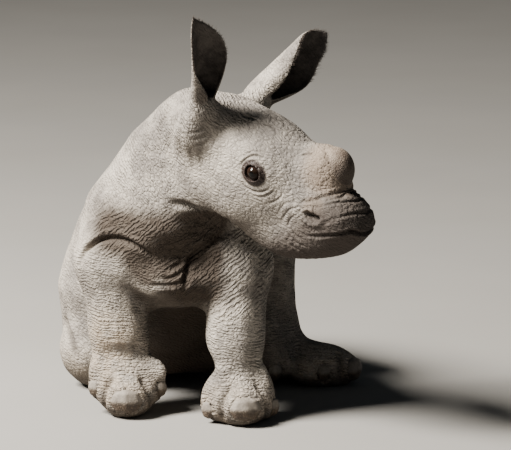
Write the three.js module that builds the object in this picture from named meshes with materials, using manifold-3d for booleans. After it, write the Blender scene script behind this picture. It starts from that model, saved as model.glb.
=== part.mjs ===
// A newborn white rhinoceros calf, sitting on its right hip with both forelegs upright and its head turned
// to its left. Life size, in millimetres, +Z up. The calf faces -Y and its left side is +X.
//
// The flesh is one smooth field of named masses (round bones and eggs that melt into each other). It is
// turned into a faceted skin, set on flats at floor level, and parted into head, neck, trunk, tail and legs
// by thin cuts. Ears, eyes, horn bud and toenails are pieces of their own, let into that flesh.
import * as THREE from "three";
import { mergeVertices } from "three/addons/utils/BufferGeometryUtils.js";
import Module from "manifold-3d";

const wasm = await Module();
wasm.setup();

// ---------------------------------------------------------------- driving sizes
const GAP = 0.4; // clear gap between neighbouring pieces
const SLIVER = 0.06; // facets thinner than this, left by the cuts, are closed up
const TRUNK_CELL = 45; // facet sizes
const NECK_CELL = 36;
const HEAD_CELL = 20.5;
const LEG_CELL = 27.5;
const LEG_CELL_HEIGHT = 40; // taller facets up the legs
const FOOT_CELL_HEIGHT = 18;
const FOOT_TOP = 100; // below this the facets are the foot's

// Over how far the masses melt into each other, from loose hide over the trunk to a tight crease.
const TRUNK_MELT = 56;
const NECK_MELT = 30;
const HEAD_MELT = 22;
const LEG_MELT = 26;
const CREASE = 9; // between two limbs that only press on each other

// Where the joints of the sitting calf are. The left forefoot is set a little ahead of the right one.
const POLL = [90, 40, 582];
const WITHERS = [-26, 205, 428];
const RIBS = [-14, 205, 345];
const LOIN = [-35, 338, 320];
const BELLY = [-30, 345, 240];
const RUMP = [-44, 482, 178];
const FORE = {
  left: {
    shoulder: [84, 150, 326],
    elbow: [102, 110, 262],
    knee: [96, 86, 150],
    fetlock: [95, 64, 66],
    toe: [106, 36, 32],
    aim: [0.2, -1],
    lift: 0, // how far its side toes hang higher than they do on a loaded foot
  },
  right: {
    shoulder: [-104, 185, 335],
    elbow: [-124, 158, 262],
    knee: [-108, 140, 140],
    fetlock: [-98, 124, 66],
    toe: [-92, 96, 32],
    aim: [-0.02, -1],
    lift: 22,
  },
};
const HIND = {
  left: {
    hip: [56, 475, 185],
    knee: [141, 352, 262],
    hock: [158, 392, 84],
    heel: [154, 384, 46],
    toe: [266, 338, 29],
    aim: [1, -0.38],
  },
  right: {
    hip: [-122, 462, 108],
    knee: [-146, 322, 70],
    hock: [66, 352, 68],
    heel: [112, 336, 40],
    toe: [142, 306, 66],
    aim: [0.1, -1],
  },
};
const TAIL = [
  [-46, 582, 214],
  [-49, 612, 186],
  [-52, 627, 150],
  [-56, 635, 110],
  [-59, 637, 70],
  [-61, 635, 34],
  [-62, 632, 14],
];
const TAIL_RADII = [26, 19, 14.5, 12, 11, 10, 6];

// The head's own frame: forward from the poll to the lips, leftward, and up, turned to the calf's left.
const HEAD_TURN = 57; // degrees away from straight ahead
const HEAD_DIP = 36.5; // degrees below level

const SIDE_TOE = { aside: 48, back: 14 }; // of a forefoot, from the middle of its broad middle toe
const HIND_SIDE_TOE = { aside: 40, back: 6 };
const MIDDLE_NAIL = [15, 22, 30]; // half thickness, half width and half height
const SIDE_NAIL = [11, 17, 15];

const CHIN = [272, 0, -94]; // middle of the lower lip and chin, forward, left and up
const EYE = { forward: 148, up: -45, aside: 68, radius: 14 };
const HORN = { forward: 235, up: 22, radii: [40, 33, 45] };
const EAR = {
  right: {
    forward: 8, // of its root, from the poll
    nod: -30, // degrees that it tips forward
    splay: 14, // degrees that it leans out
    turn: 0, // degrees that its opening is turned outwards
    bow: 11, // how far its middle stands forward of the line from root to tip
    belly: 8, // how far the back of the cup bulges out
  },
  left: {
    forward: 20,
    nod: -8,
    splay: 36,
    turn: -34,
    bow: 22,
    belly: 31,
  },
};
const EAR_ASIDE = 74; // of both roots
const EAR_BELOW = 30;
const EAR_LENGTH = 180;
const EAR_SLANT = 0.1; // how much shorter the ear is along its inner rim
const EAR_WALL = 5.4; // thickness of the ear's shell
const EAR_ROOT = 36; // how far up the ear its own node begins
const EAR_TUBE = 18; // half width at the root, where the ear is a tube
const EAR_WIDEST = 38; // half width of the open leaf
const EAR_WIDEST_AT = 0.66; // as a share of the length
const EAR_TIP = 17; // half width of the blunt tip
const EAR_CUP = 36; // depth of the cup
const EAR_ROLL = 172; // degrees that both edges are rolled round at the root
const EAR_OUTER = 58; // degrees that the outer edge keeps once the leaf is open
const EAR_INNER = 45; // degrees that the inner edge keeps at the tip
const EAR_INNER_DELAY = 1.4; // above 1 keeps the inner edge rolled for longer
const EAR_TIP_BLUNT = 3; // higher keeps the leaf wide for longer before the tip
const EAR_OPENS = [0.05, 0.75]; // over which share of the length the outer edge opens
const EAR_RINGS = 11;
const EAR_STEPS = 8; // facets from edge to edge
const EAR_LEAN = 27; // how far the root stands behind the line of the ear
const EAR_BELLY_TURN = 15; // how far round towards the inner rim the back of the cup bulges most
const EAR_BELLY_SKEW = 0.7; // below 1 sets the bulge nearer the root
const TAIL_SIDES = 9;

// ---------------------------------------------------------------- small vector and field helpers
const rad = (degrees) => (degrees * Math.PI) / 180;
const plus = (a, b, k = 1) => [a[0] + k * b[0], a[1] + k * b[1], a[2] + k * b[2]];
const dot = (a, b) => a[0] * b[0] + a[1] * b[1] + a[2] * b[2];
const cross = (a, b) => [
  a[1] * b[2] - a[2] * b[1],
  a[2] * b[0] - a[0] * b[2],
  a[0] * b[1] - a[1] * b[0],
];
const unit = (a) => {
  const n = Math.hypot(...a);
  return [a[0] / n, a[1] / n, a[2] / n];
};
const eased = (share) => {
  const t = Math.min(1, Math.max(0, share));
  return t * t * (3 - 2 * t);
};
const mix = (a, b, t) => [0, 1, 2].map((i) => a[i] + (b[i] - a[i]) * t);

const headForward = [
  Math.sin(rad(HEAD_TURN)) * Math.cos(rad(HEAD_DIP)),
  -Math.cos(rad(HEAD_TURN)) * Math.cos(rad(HEAD_DIP)),
  -Math.sin(rad(HEAD_DIP)),
];
const headUp = unit(plus([0, 0, 1], headForward, -headForward[2]));
const headLeft = cross(headUp, headForward);
const HEAD_AXES = [headForward, headLeft, headUp];

// A point of the head, from its distances forward, left and up from the poll.
function onHead(forward, left, up) {
  return plus(plus(plus(POLL, headForward, forward), headLeft, left), headUp, up);
}

// A direction of the head, from its parts forward, left and up.
const inHead = (axis) => onHead(...axis).map((value, m) => value - POLL[m]);

// Where an ear is rooted on the head, and its own axes: the way that it points, the way that its cup opens.
function earStance(name) {
  const { forward, nod, splay, turn } = EAR[name];
  const side = name === "left" ? 1 : -1;
  const upright = Math.cos(rad(splay));
  const along = [upright * Math.sin(rad(nod)), side * Math.sin(rad(splay)), upright * Math.cos(rad(nod))];
  const opening = [Math.cos(rad(turn)), side * Math.sin(rad(turn)), 0];
  const axes = frameFrom(inHead(along), inHead(opening));
  return { side, root: [forward, side * EAR_ASIDE, -EAR_BELOW], axes };
}

const WORLD_AXES = [
  [1, 0, 0],
  [0, 1, 0],
  [0, 0, 1],
];

// An ellipsoid with the given radii along three axes.
function egg(centre, radii, axes = WORLD_AXES) {
  return (p) => {
    const d = plus(p, centre, -1);
    let k0 = 0;
    let k1 = 0;
    for (let i = 0; i < 3; i++) {
      const q = dot(d, axes[i]) / radii[i];
      k0 += q * q;
      k1 += (q * q) / (radii[i] * radii[i]);
    }
    return k1 < 1e-12 ? -Math.min(...radii) : (Math.sqrt(k0) * (Math.sqrt(k0) - 1)) / Math.sqrt(k1);
  };
}

// A tapered round limb from a to b.
function limb(a, b, ra, rb) {
  const ab = plus(b, a, -1);
  const length2 = dot(ab, ab);
  return (p) => {
    const d = plus(p, a, -1);
    const t = Math.min(1, Math.max(0, dot(d, ab) / length2));
    return Math.hypot(d[0] - t * ab[0], d[1] - t * ab[1], d[2] - t * ab[2]) - ra - (rb - ra) * t;
  };
}

// Masses that melt into each other over a distance k.
function melt(k, ...masses) {
  return (p) => {
    let d = masses[0](p);
    for (let i = 1; i < masses.length; i++) {
      const e = masses[i](p);
      const h = Math.max(k - Math.abs(d - e), 0) / k;
      d = Math.min(d, e) - (h * h * k) / 4;
    }
    return d;
  };
}

// Three axes, the first one as given, the second as near as can be to the hint.
function frameFrom(first, hint) {
  const a = unit(first);
  const b = unit(plus(hint, a, -dot(hint, a)));
  return [a, b, cross(a, b)];
}

// ---------------------------------------------------------------- the masses
function headMasses() {
  const h = (forward, up, radii, side = 0) => egg(onHead(forward, side, up), radii, HEAD_AXES);
  const masses = [
    h(74, -56, [90, 66, 66]), // braincase
    h(128, -72, [112, 72, 80]), // cheeks
    h(162, -106, [112, 50, 72]), // deep lower jaw
    h(172, -42, [100, 60, 60]), // bridge of the face
    h(262, -48, [80, 54, 58]), // muzzle
    h(302, -20, [50, 57, 36]), // upper lip
    h(226, 16, [48, 42, 45]), // boss under the horn bud
    h(142, -25, [96, 50, 56]), // forehead
    egg(onHead(...CHIN), [84, 46, 38], frameFrom(plus(headForward, headUp), headLeft)),
  ];
  for (const side of [-1, 1]) {
    masses.push(h(140, -34, [46, 22, 30], side * 50)); // brow and cheekbone
    masses.push(h(116, -116, [62, 28, 54], side * 38)); // jaw muscle
  }
  for (const name of Object.keys(EAR)) {
    const { root, axes } = earStance(name);
    const [forward, aside, up] = root;
    const low = onHead(forward + 6, aside * 0.8, up - 40);
    masses.push(limb(low, plus(onHead(...root), axes[0], 8), 38, 27));
  }
  return melt(HEAD_MELT, ...masses);
}

function neckMasses() {
  const back = [-20, 190, 385];
  const front = onHead(34, -4, -92);
  const along = unit(plus(front, back, -1));
  const side = unit(cross(along, [0, 0, 1]));
  const axes = [along, side, cross(side, along)];
  return melt(
    NECK_MELT,
    egg(mix(back, front, 0.25), [130, 88, 100], axes),
    egg(plus(mix(back, front, 0.72), [-4, 4, 22]), [112, 68, 78], axes),
    limb([-30, 150, 440], [20, 92, 518], 66, 56), // crest of the neck
    limb(plus(RIBS, [8, -65, 5]), onHead(66, -4, -110), 84, 58),
  );
}

function trunkMasses() {
  return melt(
    TRUNK_MELT,
    egg(RIBS, [112, 150, 136]),
    egg(WITHERS, [48, 120, 56]),
    egg(LOIN, [94, 146, 86]),
    egg(BELLY, [160, 165, 152]),
    egg(plus(BELLY, [-8, 20, -76]), [180, 145, 104]),
    egg(RUMP, [136, 118, 136]),
    egg(plus(RUMP, [-18, 12, -94]), [132, 100, 92]), // seat, pressed on the floor
    egg([-4, 124, 275], [82, 74, 84]), // brisket
    limb(FORE.left.shoulder, FORE.left.elbow, 60, 40),
    limb(FORE.right.shoulder, FORE.right.elbow, 60, 40),
    limb(HIND.left.hip, HIND.left.knee, 90, 48),
  );
}

function forelegMasses(leg) {
  return melt(
    LEG_MELT,
    limb(mix(leg.shoulder, leg.elbow, 0.4), leg.elbow, 58, 56),
    limb(leg.elbow, leg.knee, 55, 46),
    limb(leg.knee, leg.fetlock, 48, 43),
    foot(leg),
  );
}

// Three blunt toes under a soft pad: a broad middle toe, and a smaller one hanging at each side.
function foot(leg) {
  const { ahead, axes } = footFrame(leg);
  const masses = [
    egg(plus(leg.toe, ahead, -18), [46, 42, 38], axes),
    egg(plus(leg.toe, ahead, 16), [36, 42, 35], axes),
  ];
  for (const side of [-1, 1]) {
    const centre = sideToe(leg, SIDE_TOE, side);
    masses.push(limb(plus(centre, [0, 0, 44]), plus(centre, [0, 0, -10 + leg.lift]), 20, 21));
  }
  return melt(HEAD_MELT, ...masses);
}

// Where a side toe is, on the foot's own left (side 1) or right (side -1).
function sideToe(leg, { aside, back }, side) {
  const { ahead, across } = footFrame(leg);
  return plus(plus(leg.toe, across, side * aside), ahead, -back);
}

function footFrame(leg) {
  const ahead = unit([leg.aim[0], leg.aim[1], 0]);
  const across = [-ahead[1], ahead[0], 0];
  return { ahead, across, axes: [ahead, across, [0, 0, 1]] };
}

function hindLeftMasses(leg) {
  const { ahead, across, axes } = footFrame(leg);
  const toes = [-1, 1].map((side) => {
    const tip = sideToe(leg, HIND_SIDE_TOE, side);
    return limb(plus(plus(tip, ahead, -28), across, side * 4), tip, 24, 20);
  });
  return melt(
    LEG_MELT,
    limb(mix(leg.hip, leg.knee, 0.5), leg.knee, 76, 58),
    egg([96, 425, 170], [62, 76, 84]), // hamstring, behind the thigh
    limb(leg.knee, leg.hock, 58, 46),
    limb(leg.hock, leg.heel, 46, 46),
    limb(plus(leg.heel, ahead, 20), plus(leg.toe, ahead, -10), 42, 36),
    egg(leg.toe, [54, 42, 34], axes),
    ...toes,
  );
}

function hindRightMasses(leg) {
  return melt(
    LEG_MELT,
    limb(leg.hip, leg.knee, 92, 70),
    limb(leg.knee, leg.hock, 62, 46),
    limb(leg.hock, leg.heel, 46, 38),
    egg(plus(leg.toe, [-18, 2, -2]), [28, 34, 62]), // the two long pads of the upturned sole
    egg(plus(leg.toe, [20, 8, -6]), [26, 32, 58]),
    limb(plus(leg.toe, [-8, 6, 40]), plus(leg.toe, [-4, 2, 74]), 20, 14), // the side toe above them
  );
}

const trunk = trunkMasses();
const withTrunk = (masses) => melt(LEG_MELT, trunk, masses);
const flesh = melt(
  CREASE,
  melt(NECK_MELT, melt(NECK_MELT, trunk, neckMasses()), headMasses()),
  withTrunk(forelegMasses(FORE.left)),
  withTrunk(forelegMasses(FORE.right)),
  withTrunk(hindLeftMasses(HIND.left)),
  withTrunk(hindRightMasses(HIND.right)),
  limb(TAIL[0], TAIL[1], 27, 12), // root of the tail
);

// ---------------------------------------------------------------- faceting a field
const PROBE = 0.5; // step over which a field's slope is measured
const PASSES = 3; // times that a point is drawn to the surface
const REACH = 1 / 6; // of a cell, the furthest that it moves in one pass
const LEAST_SLOPE = 0.2; // squared, so that a point in a flat part of the field stays put

// The twelve edges of a cell: the axis that each runs along, and its offsets on the next two axes.
const CELL_EDGES = [];
for (let m = 0; m < 3; m++)
  for (const du of [0, 1])
    for (const dw of [0, 1]) CELL_EDGES.push([m, du, dw]);
const edgeIndex = (m, du, dw) => 4 * m + 2 * du + dw;

// The six faces of a cell, each as its corners in order, and its edges, each from one corner to the next.
const CELL_FACES = [];
for (let m = 0; m < 3; m++)
  for (const side of [0, 1]) {
    const u = (m + 1) % 3;
    const w = (m + 2) % 3;
    const corners = [[0, 0], [1, 0], [1, 1], [0, 1]].map(([du, dw]) => {
      const corner = [side, side, side];
      corner[u] = du;
      corner[w] = dw;
      return corner;
    });
    const edges = [
      edgeIndex(u, 0, side),
      edgeIndex(w, side, 1),
      edgeIndex(u, 1, side),
      edgeIndex(w, side, 0),
    ];
    CELL_FACES.push({ corners, edges });
  }

// Surface nets: one vertex for each sheet of the surface in each cell, drawn onto the surface, and one
// quad for each grid edge that it crosses. Levels are the grid's heights, when they aren't even.
function facet(field, low, high, cell, levels = null) {
  const lines = [0, 1, 2].map((m) => even(low[m], high[m], cell));
  if (levels) lines[2] = levels;
  const n = lines.map((line) => line.length);
  const at = (i, j, k) => (k * n[1] + j) * n[0] + i;
  const place = (i, j, k) => [lines[0][i], lines[1][j], lines[2][k]];
  const isWall = (...ijk) => ijk.some((index, m) => index === 0 || index === n[m] - 1);
  const value = new Float64Array(n[0] * n[1] * n[2]);
  for (let k = 0; k < n[2]; k++)
    for (let j = 0; j < n[1]; j++)
      for (let i = 0; i < n[0]; i++)
        value[at(i, j, k)] = isWall(i, j, k) ? cell : field(place(i, j, k));
  const vertexOf = new Map();
  const points = [];
  for (let k = 0; k + 1 < n[2]; k++)
    for (let j = 0; j + 1 < n[1]; j++)
      for (let i = 0; i + 1 < n[0]; i++) {
        const valueAt = (c) => value[at(i + c[0], j + c[1], k + c[2])];
        const atWall = isWall(i, j, k) || isWall(i + 1, j + 1, k + 1);
        const near = place(i, j, k);
        const far = place(i + 1, j + 1, k + 1);
        for (const sheet of sheetsOf(valueAt)) {
          const middle = near.map((x, m) => x + sheet.middle[m] * (far[m] - x));
          for (const e of sheet.edges) vertexOf.set(12 * at(i, j, k) + e, points.length);
          points.push(atWall ? middle : drawn(field, middle, cell));
        }
      }
  const triangles = [];
  for (let k = 0; k + 1 < n[2]; k++)
    for (let j = 0; j + 1 < n[1]; j++)
      for (let i = 0; i + 1 < n[0]; i++)
        for (let m = 0; m < 3; m++) {
          const inside = value[at(i, j, k)] < 0;
          const next = [i, j, k];
          next[m]++;
          if (inside === value[at(...next)] < 0) continue;
          const ring = [[0, 0], [1, 0], [1, 1], [0, 1]].map(([du, dw]) => {
            const c = [i, j, k];
            c[(m + 1) % 3] -= du;
            c[(m + 2) % 3] -= dw;
            return vertexOf.get(12 * at(...c) + edgeIndex(m, du, dw));
          });
          if (!inside) ring.reverse();
          const [a, b, c, d] = ring;
          const span = (x, y) => Math.hypot(...plus(points[x], points[y], -1));
          if (span(a, c) < span(b, d)) triangles.push(a, b, c, a, c, d);
          else triangles.push(a, b, d, b, c, d);
        }
  return solid(points.flat(), triangles);
}

// The separate sheets of the surface in one cell: the cell edges that each crosses, and its middle.
function sheetsOf(valueAt) {
  const crossings = CELL_EDGES.map(([m, du, dw]) => {
    const start = [0, 0, 0];
    start[(m + 1) % 3] = du;
    start[(m + 2) % 3] = dw;
    const end = [...start];
    end[m] = 1;
    const [va, vb] = [valueAt(start), valueAt(end)];
    if (va < 0 === vb < 0) return null;
    return start.map((x, axis) => x + (va / (va - vb)) * (end[axis] - x));
  });
  if (!crossings.some(Boolean)) return [];
  let group = crossings.map((_, e) => e);
  const join = (a, b) => {
    group = group.map((g) => (g === group[a] ? group[b] : g));
  };
  for (const { corners, edges } of CELL_FACES) {
    const crossed = edges.filter((e) => crossings[e]);
    if (crossed.length === 2) join(...crossed);
    if (crossed.length < 4) continue;
    corners.forEach((corner, c) => {
      if (valueAt(corner) < 0) join(edges[(c + 3) % 4], edges[c]);
    });
  }
  const ids = [...new Set(group.filter((_, e) => crossings[e]))];
  return ids.map((id) => {
    const edges = group.flatMap((g, e) => (g === id && crossings[e] ? [e] : []));
    const middle = [0, 1, 2].map((m) => edges.reduce((sum, e) => sum + crossings[e][m], 0) / edges.length);
    return { edges, middle };
  });
}

function even(from, to, step) {
  const line = [];
  for (let at = from; at < to + step; at += step) line.push(at);
  return line;
}

// Draws a point onto the field's zero surface, never further than a part of its cell.
function drawn(field, start, cell) {
  let p = start;
  for (let pass = 0; pass < PASSES; pass++) {
    const d = field(p);
    const slope = [0, 1, 2].map((m) => {
      const q = [...p];
      q[m] += PROBE;
      return (field(q) - d) / PROBE;
    });
    const wanted = -d / Math.max(dot(slope, slope), LEAST_SLOPE);
    p = plus(p, slope, Math.max(-cell * REACH, Math.min(cell * REACH, wanted)));
  }
  return p;
}

// A closed solid from flat lists of coordinates and triangles.
function solid(coordinates, triangles) {
  return new wasm.Manifold(
    new wasm.Mesh({
      numProp: 3,
      vertProperties: new Float32Array(coordinates),
      triVerts: new Uint32Array(triangles),
    }),
  );
}

// The same, turned round if its faces point inwards.
function facingOut(coordinates, triangles) {
  const made = solid(coordinates, triangles);
  return made.volume() < 0 ? solid(coordinates, triangles.reverse()) : made;
}

// ---------------------------------------------------------------- ears
// A cupped ear. Near the root its edges curl in towards each other and the shell becomes a tube, and the
// outer edge stays curled in for longer than the inner edge, which is the shorter one.
function earSection(t) {
  const closing = Math.max(0, (t - EAR_WIDEST_AT) / (1 - EAR_WIDEST_AT)) ** EAR_TIP_BLUNT;
  const opened = eased((t - EAR_OPENS[0]) / (EAR_OPENS[1] - EAR_OPENS[0]));
  const widened = (EAR_WIDEST - EAR_TUBE) * eased(t / EAR_WIDEST_AT);
  return {
    halfWidth: EAR_TUBE + widened - (EAR_WIDEST - EAR_TIP) * closing,
    cup: EAR_CUP - (EAR_CUP - EAR_TIP) * closing,
    outerWrap: EAR_ROLL - (EAR_ROLL - EAR_OUTER) * opened,
    innerWrap: EAR_ROLL - (EAR_ROLL - EAR_INNER) * t ** EAR_INNER_DELAY,
  };
}

function ear(name) {
  const spec = EAR[name];
  const { side, root: rootOnHead, axes } = earStance(name);
  const root = onHead(...rootOnHead);
  const [along, opening, left] = axes;
  const inward = left.map((value) => value * side);
  const coordinates = [];
  const ringSize = 2 * (EAR_STEPS + 1);
  for (let r = 0; r <= EAR_RINGS; r++) {
    const t = r / EAR_RINGS;
    const { halfWidth, cup, outerWrap, innerWrap } = earSection(t);
    const lean = spec.bow * Math.sin(Math.PI * t) - EAR_LEAN * (1 - t) * (1 - t);
    const point = (offset, s) => {
      const height = EAR_LENGTH * t * (1 - EAR_SLANT * (1 - s) * t);
      const spine = plus(plus(root, along, height), opening, lean);
      const angle = rad(-innerWrap + (innerWrap + outerWrap) * s);
      const rim = Math.min(1, 5 * Math.min(s, 1 - s));
      const wall = offset * (0.5 + 0.5 * rim);
      const aside = (halfWidth + wall) * Math.sin(angle);
      const bulge = Math.max(0, Math.cos(angle + rad(EAR_BELLY_TURN)));
      const belly = spec.belly * Math.sin(Math.PI * t ** EAR_BELLY_SKEW) * bulge * bulge;
      const forward = (cup / 2) * (1 - Math.cos(angle)) - wall * Math.cos(angle) - belly;
      return plus(plus(spine, inward, aside), opening, forward);
    };
    for (let m = 0; m <= EAR_STEPS; m++) coordinates.push(...point(EAR_WALL / 2, m / EAR_STEPS));
    for (let m = EAR_STEPS; m >= 0; m--) coordinates.push(...point(-EAR_WALL / 2, m / EAR_STEPS));
  }
  const triangles = [];
  for (let r = 0; r < EAR_RINGS; r++)
    for (let m = 0; m < ringSize; m++) {
      const a = r * ringSize + m;
      const b = r * ringSize + ((m + 1) % ringSize);
      triangles.push(a, b, a + ringSize, b, b + ringSize, a + ringSize);
    }
  for (let m = 0; m < EAR_STEPS; m++) {
    const o = m;
    const i = ringSize - 1 - m;
    const top = EAR_RINGS * ringSize;
    triangles.push(o, i, o + 1, i, i - 1, o + 1);
    triangles.push(top + o, top + o + 1, top + i, top + i, top + o + 1, top + i - 1);
  }
  return facingOut(coordinates, triangles);
}

// ---------------------------------------------------------------- tail
// A round tube that tapers along the tail's line, closed at both ends.
function tail() {
  const coordinates = [];
  const triangles = [];
  TAIL.forEach((centre, r) => {
    const before = TAIL[Math.max(0, r - 1)];
    const after = TAIL[Math.min(TAIL.length - 1, r + 1)];
    const [, across, out] = frameFrom(plus(after, before, -1), [1, 0, 0]);
    for (let m = 0; m < TAIL_SIDES; m++) {
      const angle = (2 * Math.PI * m) / TAIL_SIDES;
      const radius = TAIL_RADII[r];
      const aside = plus(centre, across, radius * Math.cos(angle));
      coordinates.push(...plus(aside, out, radius * Math.sin(angle)));
      if (r === 0) continue;
      const a = (r - 1) * TAIL_SIDES + m;
      const b = (r - 1) * TAIL_SIDES + ((m + 1) % TAIL_SIDES);
      triangles.push(a, b, b + TAIL_SIDES, a, b + TAIL_SIDES, a + TAIL_SIDES);
    }
  });
  const end = (TAIL.length - 1) * TAIL_SIDES;
  for (let m = 1; m + 1 < TAIL_SIDES; m++) {
    triangles.push(0, m + 1, m);
    triangles.push(end, end + m, end + m + 1);
  }
  return facingOut(coordinates, triangles);
}

// ---------------------------------------------------------------- cutting tools
// A block that spans low to high along three axes from an origin. Grow widens it on every side.
function block(origin, axes, low, high, grow = 0) {
  const size = [0, 1, 2].map((m) => high[m] - low[m] + 2 * grow);
  const middle = [0, 1, 2].reduce((p, m) => plus(p, axes[m], (low[m] + high[m]) / 2), origin);
  const box = new THREE.BoxGeometry(...size);
  const basis = new THREE.Matrix4().makeBasis(...axes.map((axis) => new THREE.Vector3(...axis)));
  return welded(box.applyMatrix4(basis.setPosition(...middle)));
}

// A solid ellipsoid from a sphere of few facets.
function button(centre, radii, axes, grow, around, rings) {
  const sphere = new THREE.SphereGeometry(1, around, rings);
  const spans = axes.map((axis, m) => new THREE.Vector3(...axis).multiplyScalar(radii[m] + grow));
  const basis = new THREE.Matrix4().makeBasis(...spans);
  return welded(sphere.applyMatrix4(basis.setPosition(...centre)));
}

function welded(geometry) {
  geometry.deleteAttribute("normal");
  geometry.deleteAttribute("uv");
  const merged = mergeVertices(geometry, 1e-4);
  return solid(merged.attributes.position.array, merged.index.array);
}

// ---------------------------------------------------------------- where the calf is parted
// Each region is a union of blocks, and a block may be trimmed by another one.
const REGIONS = {
  ear_right: [earBlock("right")],
  ear_left: [earBlock("left")],
  hindleg_right: [
    { origin: [0, 0, 0], axes: WORLD_AXES, low: [-70, 215, -40], high: [150, 352, 128] },
    {
      origin: [-100, 345, 140],
      axes: frameFrom([-0.5, -0.3, -0.81], [0, 1, 0]),
      low: [0, -130, -160],
      high: [260, 160, 190],
    },
    { origin: [0, 0, 0], axes: WORLD_AXES, low: [106, 262, -40], high: [190, 350, 164] },
  ],
  hindleg_left: [
    {
      origin: [106, 400, 170],
      axes: frameFrom([0.93, -0.3, -0.08], [0, 0, 1]),
      low: [0, -210, -110],
      high: [300, 190, 140],
    },
  ],
  foreleg_left: [
    {
      origin: [48, 120, 214],
      axes: frameFrom([0.5, 0, -0.866], [0, 1, 0]),
      low: [0, -260, -55],
      high: [320, 84, 150],
    },
    { origin: [0, 0, 0], axes: WORLD_AXES, low: [8, -100, -40], high: [200, 140, 130] },
  ],
  foreleg_right: [
    {
      origin: [-60, 120, 214],
      axes: frameFrom([-0.5, 0, -0.866], [0, 1, 0]),
      low: [0, -220, -150],
      high: [320, 98, 150],
    },
  ],
  tail: [{ origin: [0, 0, 0], axes: WORLD_AXES, low: [-95, 608, -40], high: [-5, 680, 225] }],
  head: [
    {
      origin: onHead(-30, 0, 10),
      axes: frameFrom([0.862, 0, 0.507], [0, 1, 0]).map(inHead),
      low: [0, -130, -340],
      high: [460, 130, 70],
      trim: { origin: POLL, axes: HEAD_AXES, low: [-90, -140, -184], high: [440, 140, 200] },
    },
  ],
  neck: [
    {
      origin: [16, 150, 400],
      axes: frameFrom([0.5, -0.72, 0.48], [0.25, -0.42, -0.87]),
      low: [0, -200, -220],
      high: [260, 128, 220],
    },
  ],
};

function earBlock(name) {
  const { root, axes } = earStance(name);
  return { origin: onHead(...root), axes, low: [EAR_ROOT, -60, -90], high: [230, 110, 90] };
}

function region(name, grow = 0) {
  const parts = REGIONS[name].map((b) => {
    const whole = block(b.origin, b.axes, b.low, b.high, grow);
    const { trim } = b;
    return trim ? whole.intersect(block(trim.origin, trim.axes, trim.low, trim.high, grow)) : whole;
  });
  return parts.reduce((all, next) => all.add(next));
}

// ---------------------------------------------------------------- flesh, cut into its nodes
const floor = block([0, 0, 0], WORLD_AXES, [-900, -900, -300], [900, 900, 0]);
const legLevels = [
  ...even(-40, FOOT_TOP - FOOT_CELL_HEIGHT, FOOT_CELL_HEIGHT),
  ...even(FOOT_TOP + FOOT_CELL_HEIGHT, 460, LEG_CELL_HEIGHT),
];
const legFlesh = facet(flesh, [-290, -110, -40], [390, 700, 460], LEG_CELL, legLevels);
const neckFlesh = facet(flesh, [-230, -80, 170], [220, 330, 680], NECK_CELL);
const trunkFlesh = facet(flesh, [-290, -30, -40], [260, 720, 600], TRUNK_CELL).add(tail());
const headFlesh = facet(flesh, [-40, -200, 200], [400, 150, 720], HEAD_CELL)
  .add(ear("right"))
  .add(ear("left"));
const sources = {
  ear_right: headFlesh,
  ear_left: headFlesh,
  hindleg_right: legFlesh,
  hindleg_left: legFlesh,
  foreleg_left: legFlesh,
  foreleg_right: legFlesh,
  tail: trunkFlesh,
  head: headFlesh,
  neck: neckFlesh,
};
const largest = (s) => s.decompose().sort((a, b) => b.volume() - a.volume())[0];
const nodes = {};
let taken = floor;
for (const [name, source] of Object.entries(sources)) {
  nodes[name] = source.intersect(region(name)).subtract(taken);
  taken = taken.add(region(name, GAP));
}
nodes.trunk = trunkFlesh.subtract(taken);
for (const name of Object.keys(nodes)) nodes[name] = largest(nodes[name]);

// ---------------------------------------------------------------- eyes, horn bud and toenails
// Each is a flattened ball let into the flesh, with a pocket that clears it by the gap.
function letIn(name, host, centre, radii, axes, around, rings) {
  nodes[name] = button(centre, radii, axes, 0, around, rings);
  nodes[host] = nodes[host].subtract(button(centre, radii, axes, GAP, around, rings));
}

for (const [name, side] of [["left", 1], ["right", -1]]) {
  const radii = [EYE.radius, EYE.radius, EYE.radius];
  letIn(`eye_${name}`, "head", onHead(EYE.forward, side * EYE.aside, EYE.up), radii, HEAD_AXES, 8, 6);
}
letIn("horn_bud", "head", onHead(HORN.forward, 0, HORN.up), HORN.radii, HEAD_AXES, 12, 7);

// A nail on the front of a toe, given the way that it faces.
function nail(name, host, centre, facing, radii) {
  letIn(`${host}_nail_${name}`, host, centre, radii, frameFrom(facing, [0, 0, 1]), 8, 4);
}

// The nails of one foot: a broad one on its middle toe, and a small one on the toe at each side.
function nails(host, leg, reach, toes, drop, bulge) {
  const { ahead, across } = footFrame(leg);
  nail("middle", host, plus(leg.toe, ahead, reach), ahead, MIDDLE_NAIL);
  for (const [name, side] of [["left", 1], ["right", -1]]) {
    const facing = unit(plus(ahead, across, side * 0.8));
    const toe = plus(sideToe(leg, toes, side), [0, 0, -drop]);
    nail(name, host, plus(toe, facing, bulge), facing, SIDE_NAIL);
  }
}

nails("foreleg_left", FORE.left, 40, SIDE_TOE, 8 - FORE.left.lift, 13);
nails("foreleg_right", FORE.right, 40, SIDE_TOE, 8 - FORE.right.lift, 13);
nails("hindleg_left", HIND.left, 42, HIND_SIDE_TOE, 0, 11);

// The right hind foot is turned sole forward, so its nails lie below and above the two long pads.
const { toe } = HIND.right;
nail("side", "hindleg_right", plus(toe, [-6, -3, 76]), [0, -0.3, 1], [14, 12, 10]);
nail("middle", "hindleg_right", plus(toe, [-20, -20, -34]), [0, -0.8, -0.6], [12, 22, 18]);
nail("left", "hindleg_right", plus(toe, [22, -14, -36]), [0.3, -0.8, -0.6], [12, 20, 16]);

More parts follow.
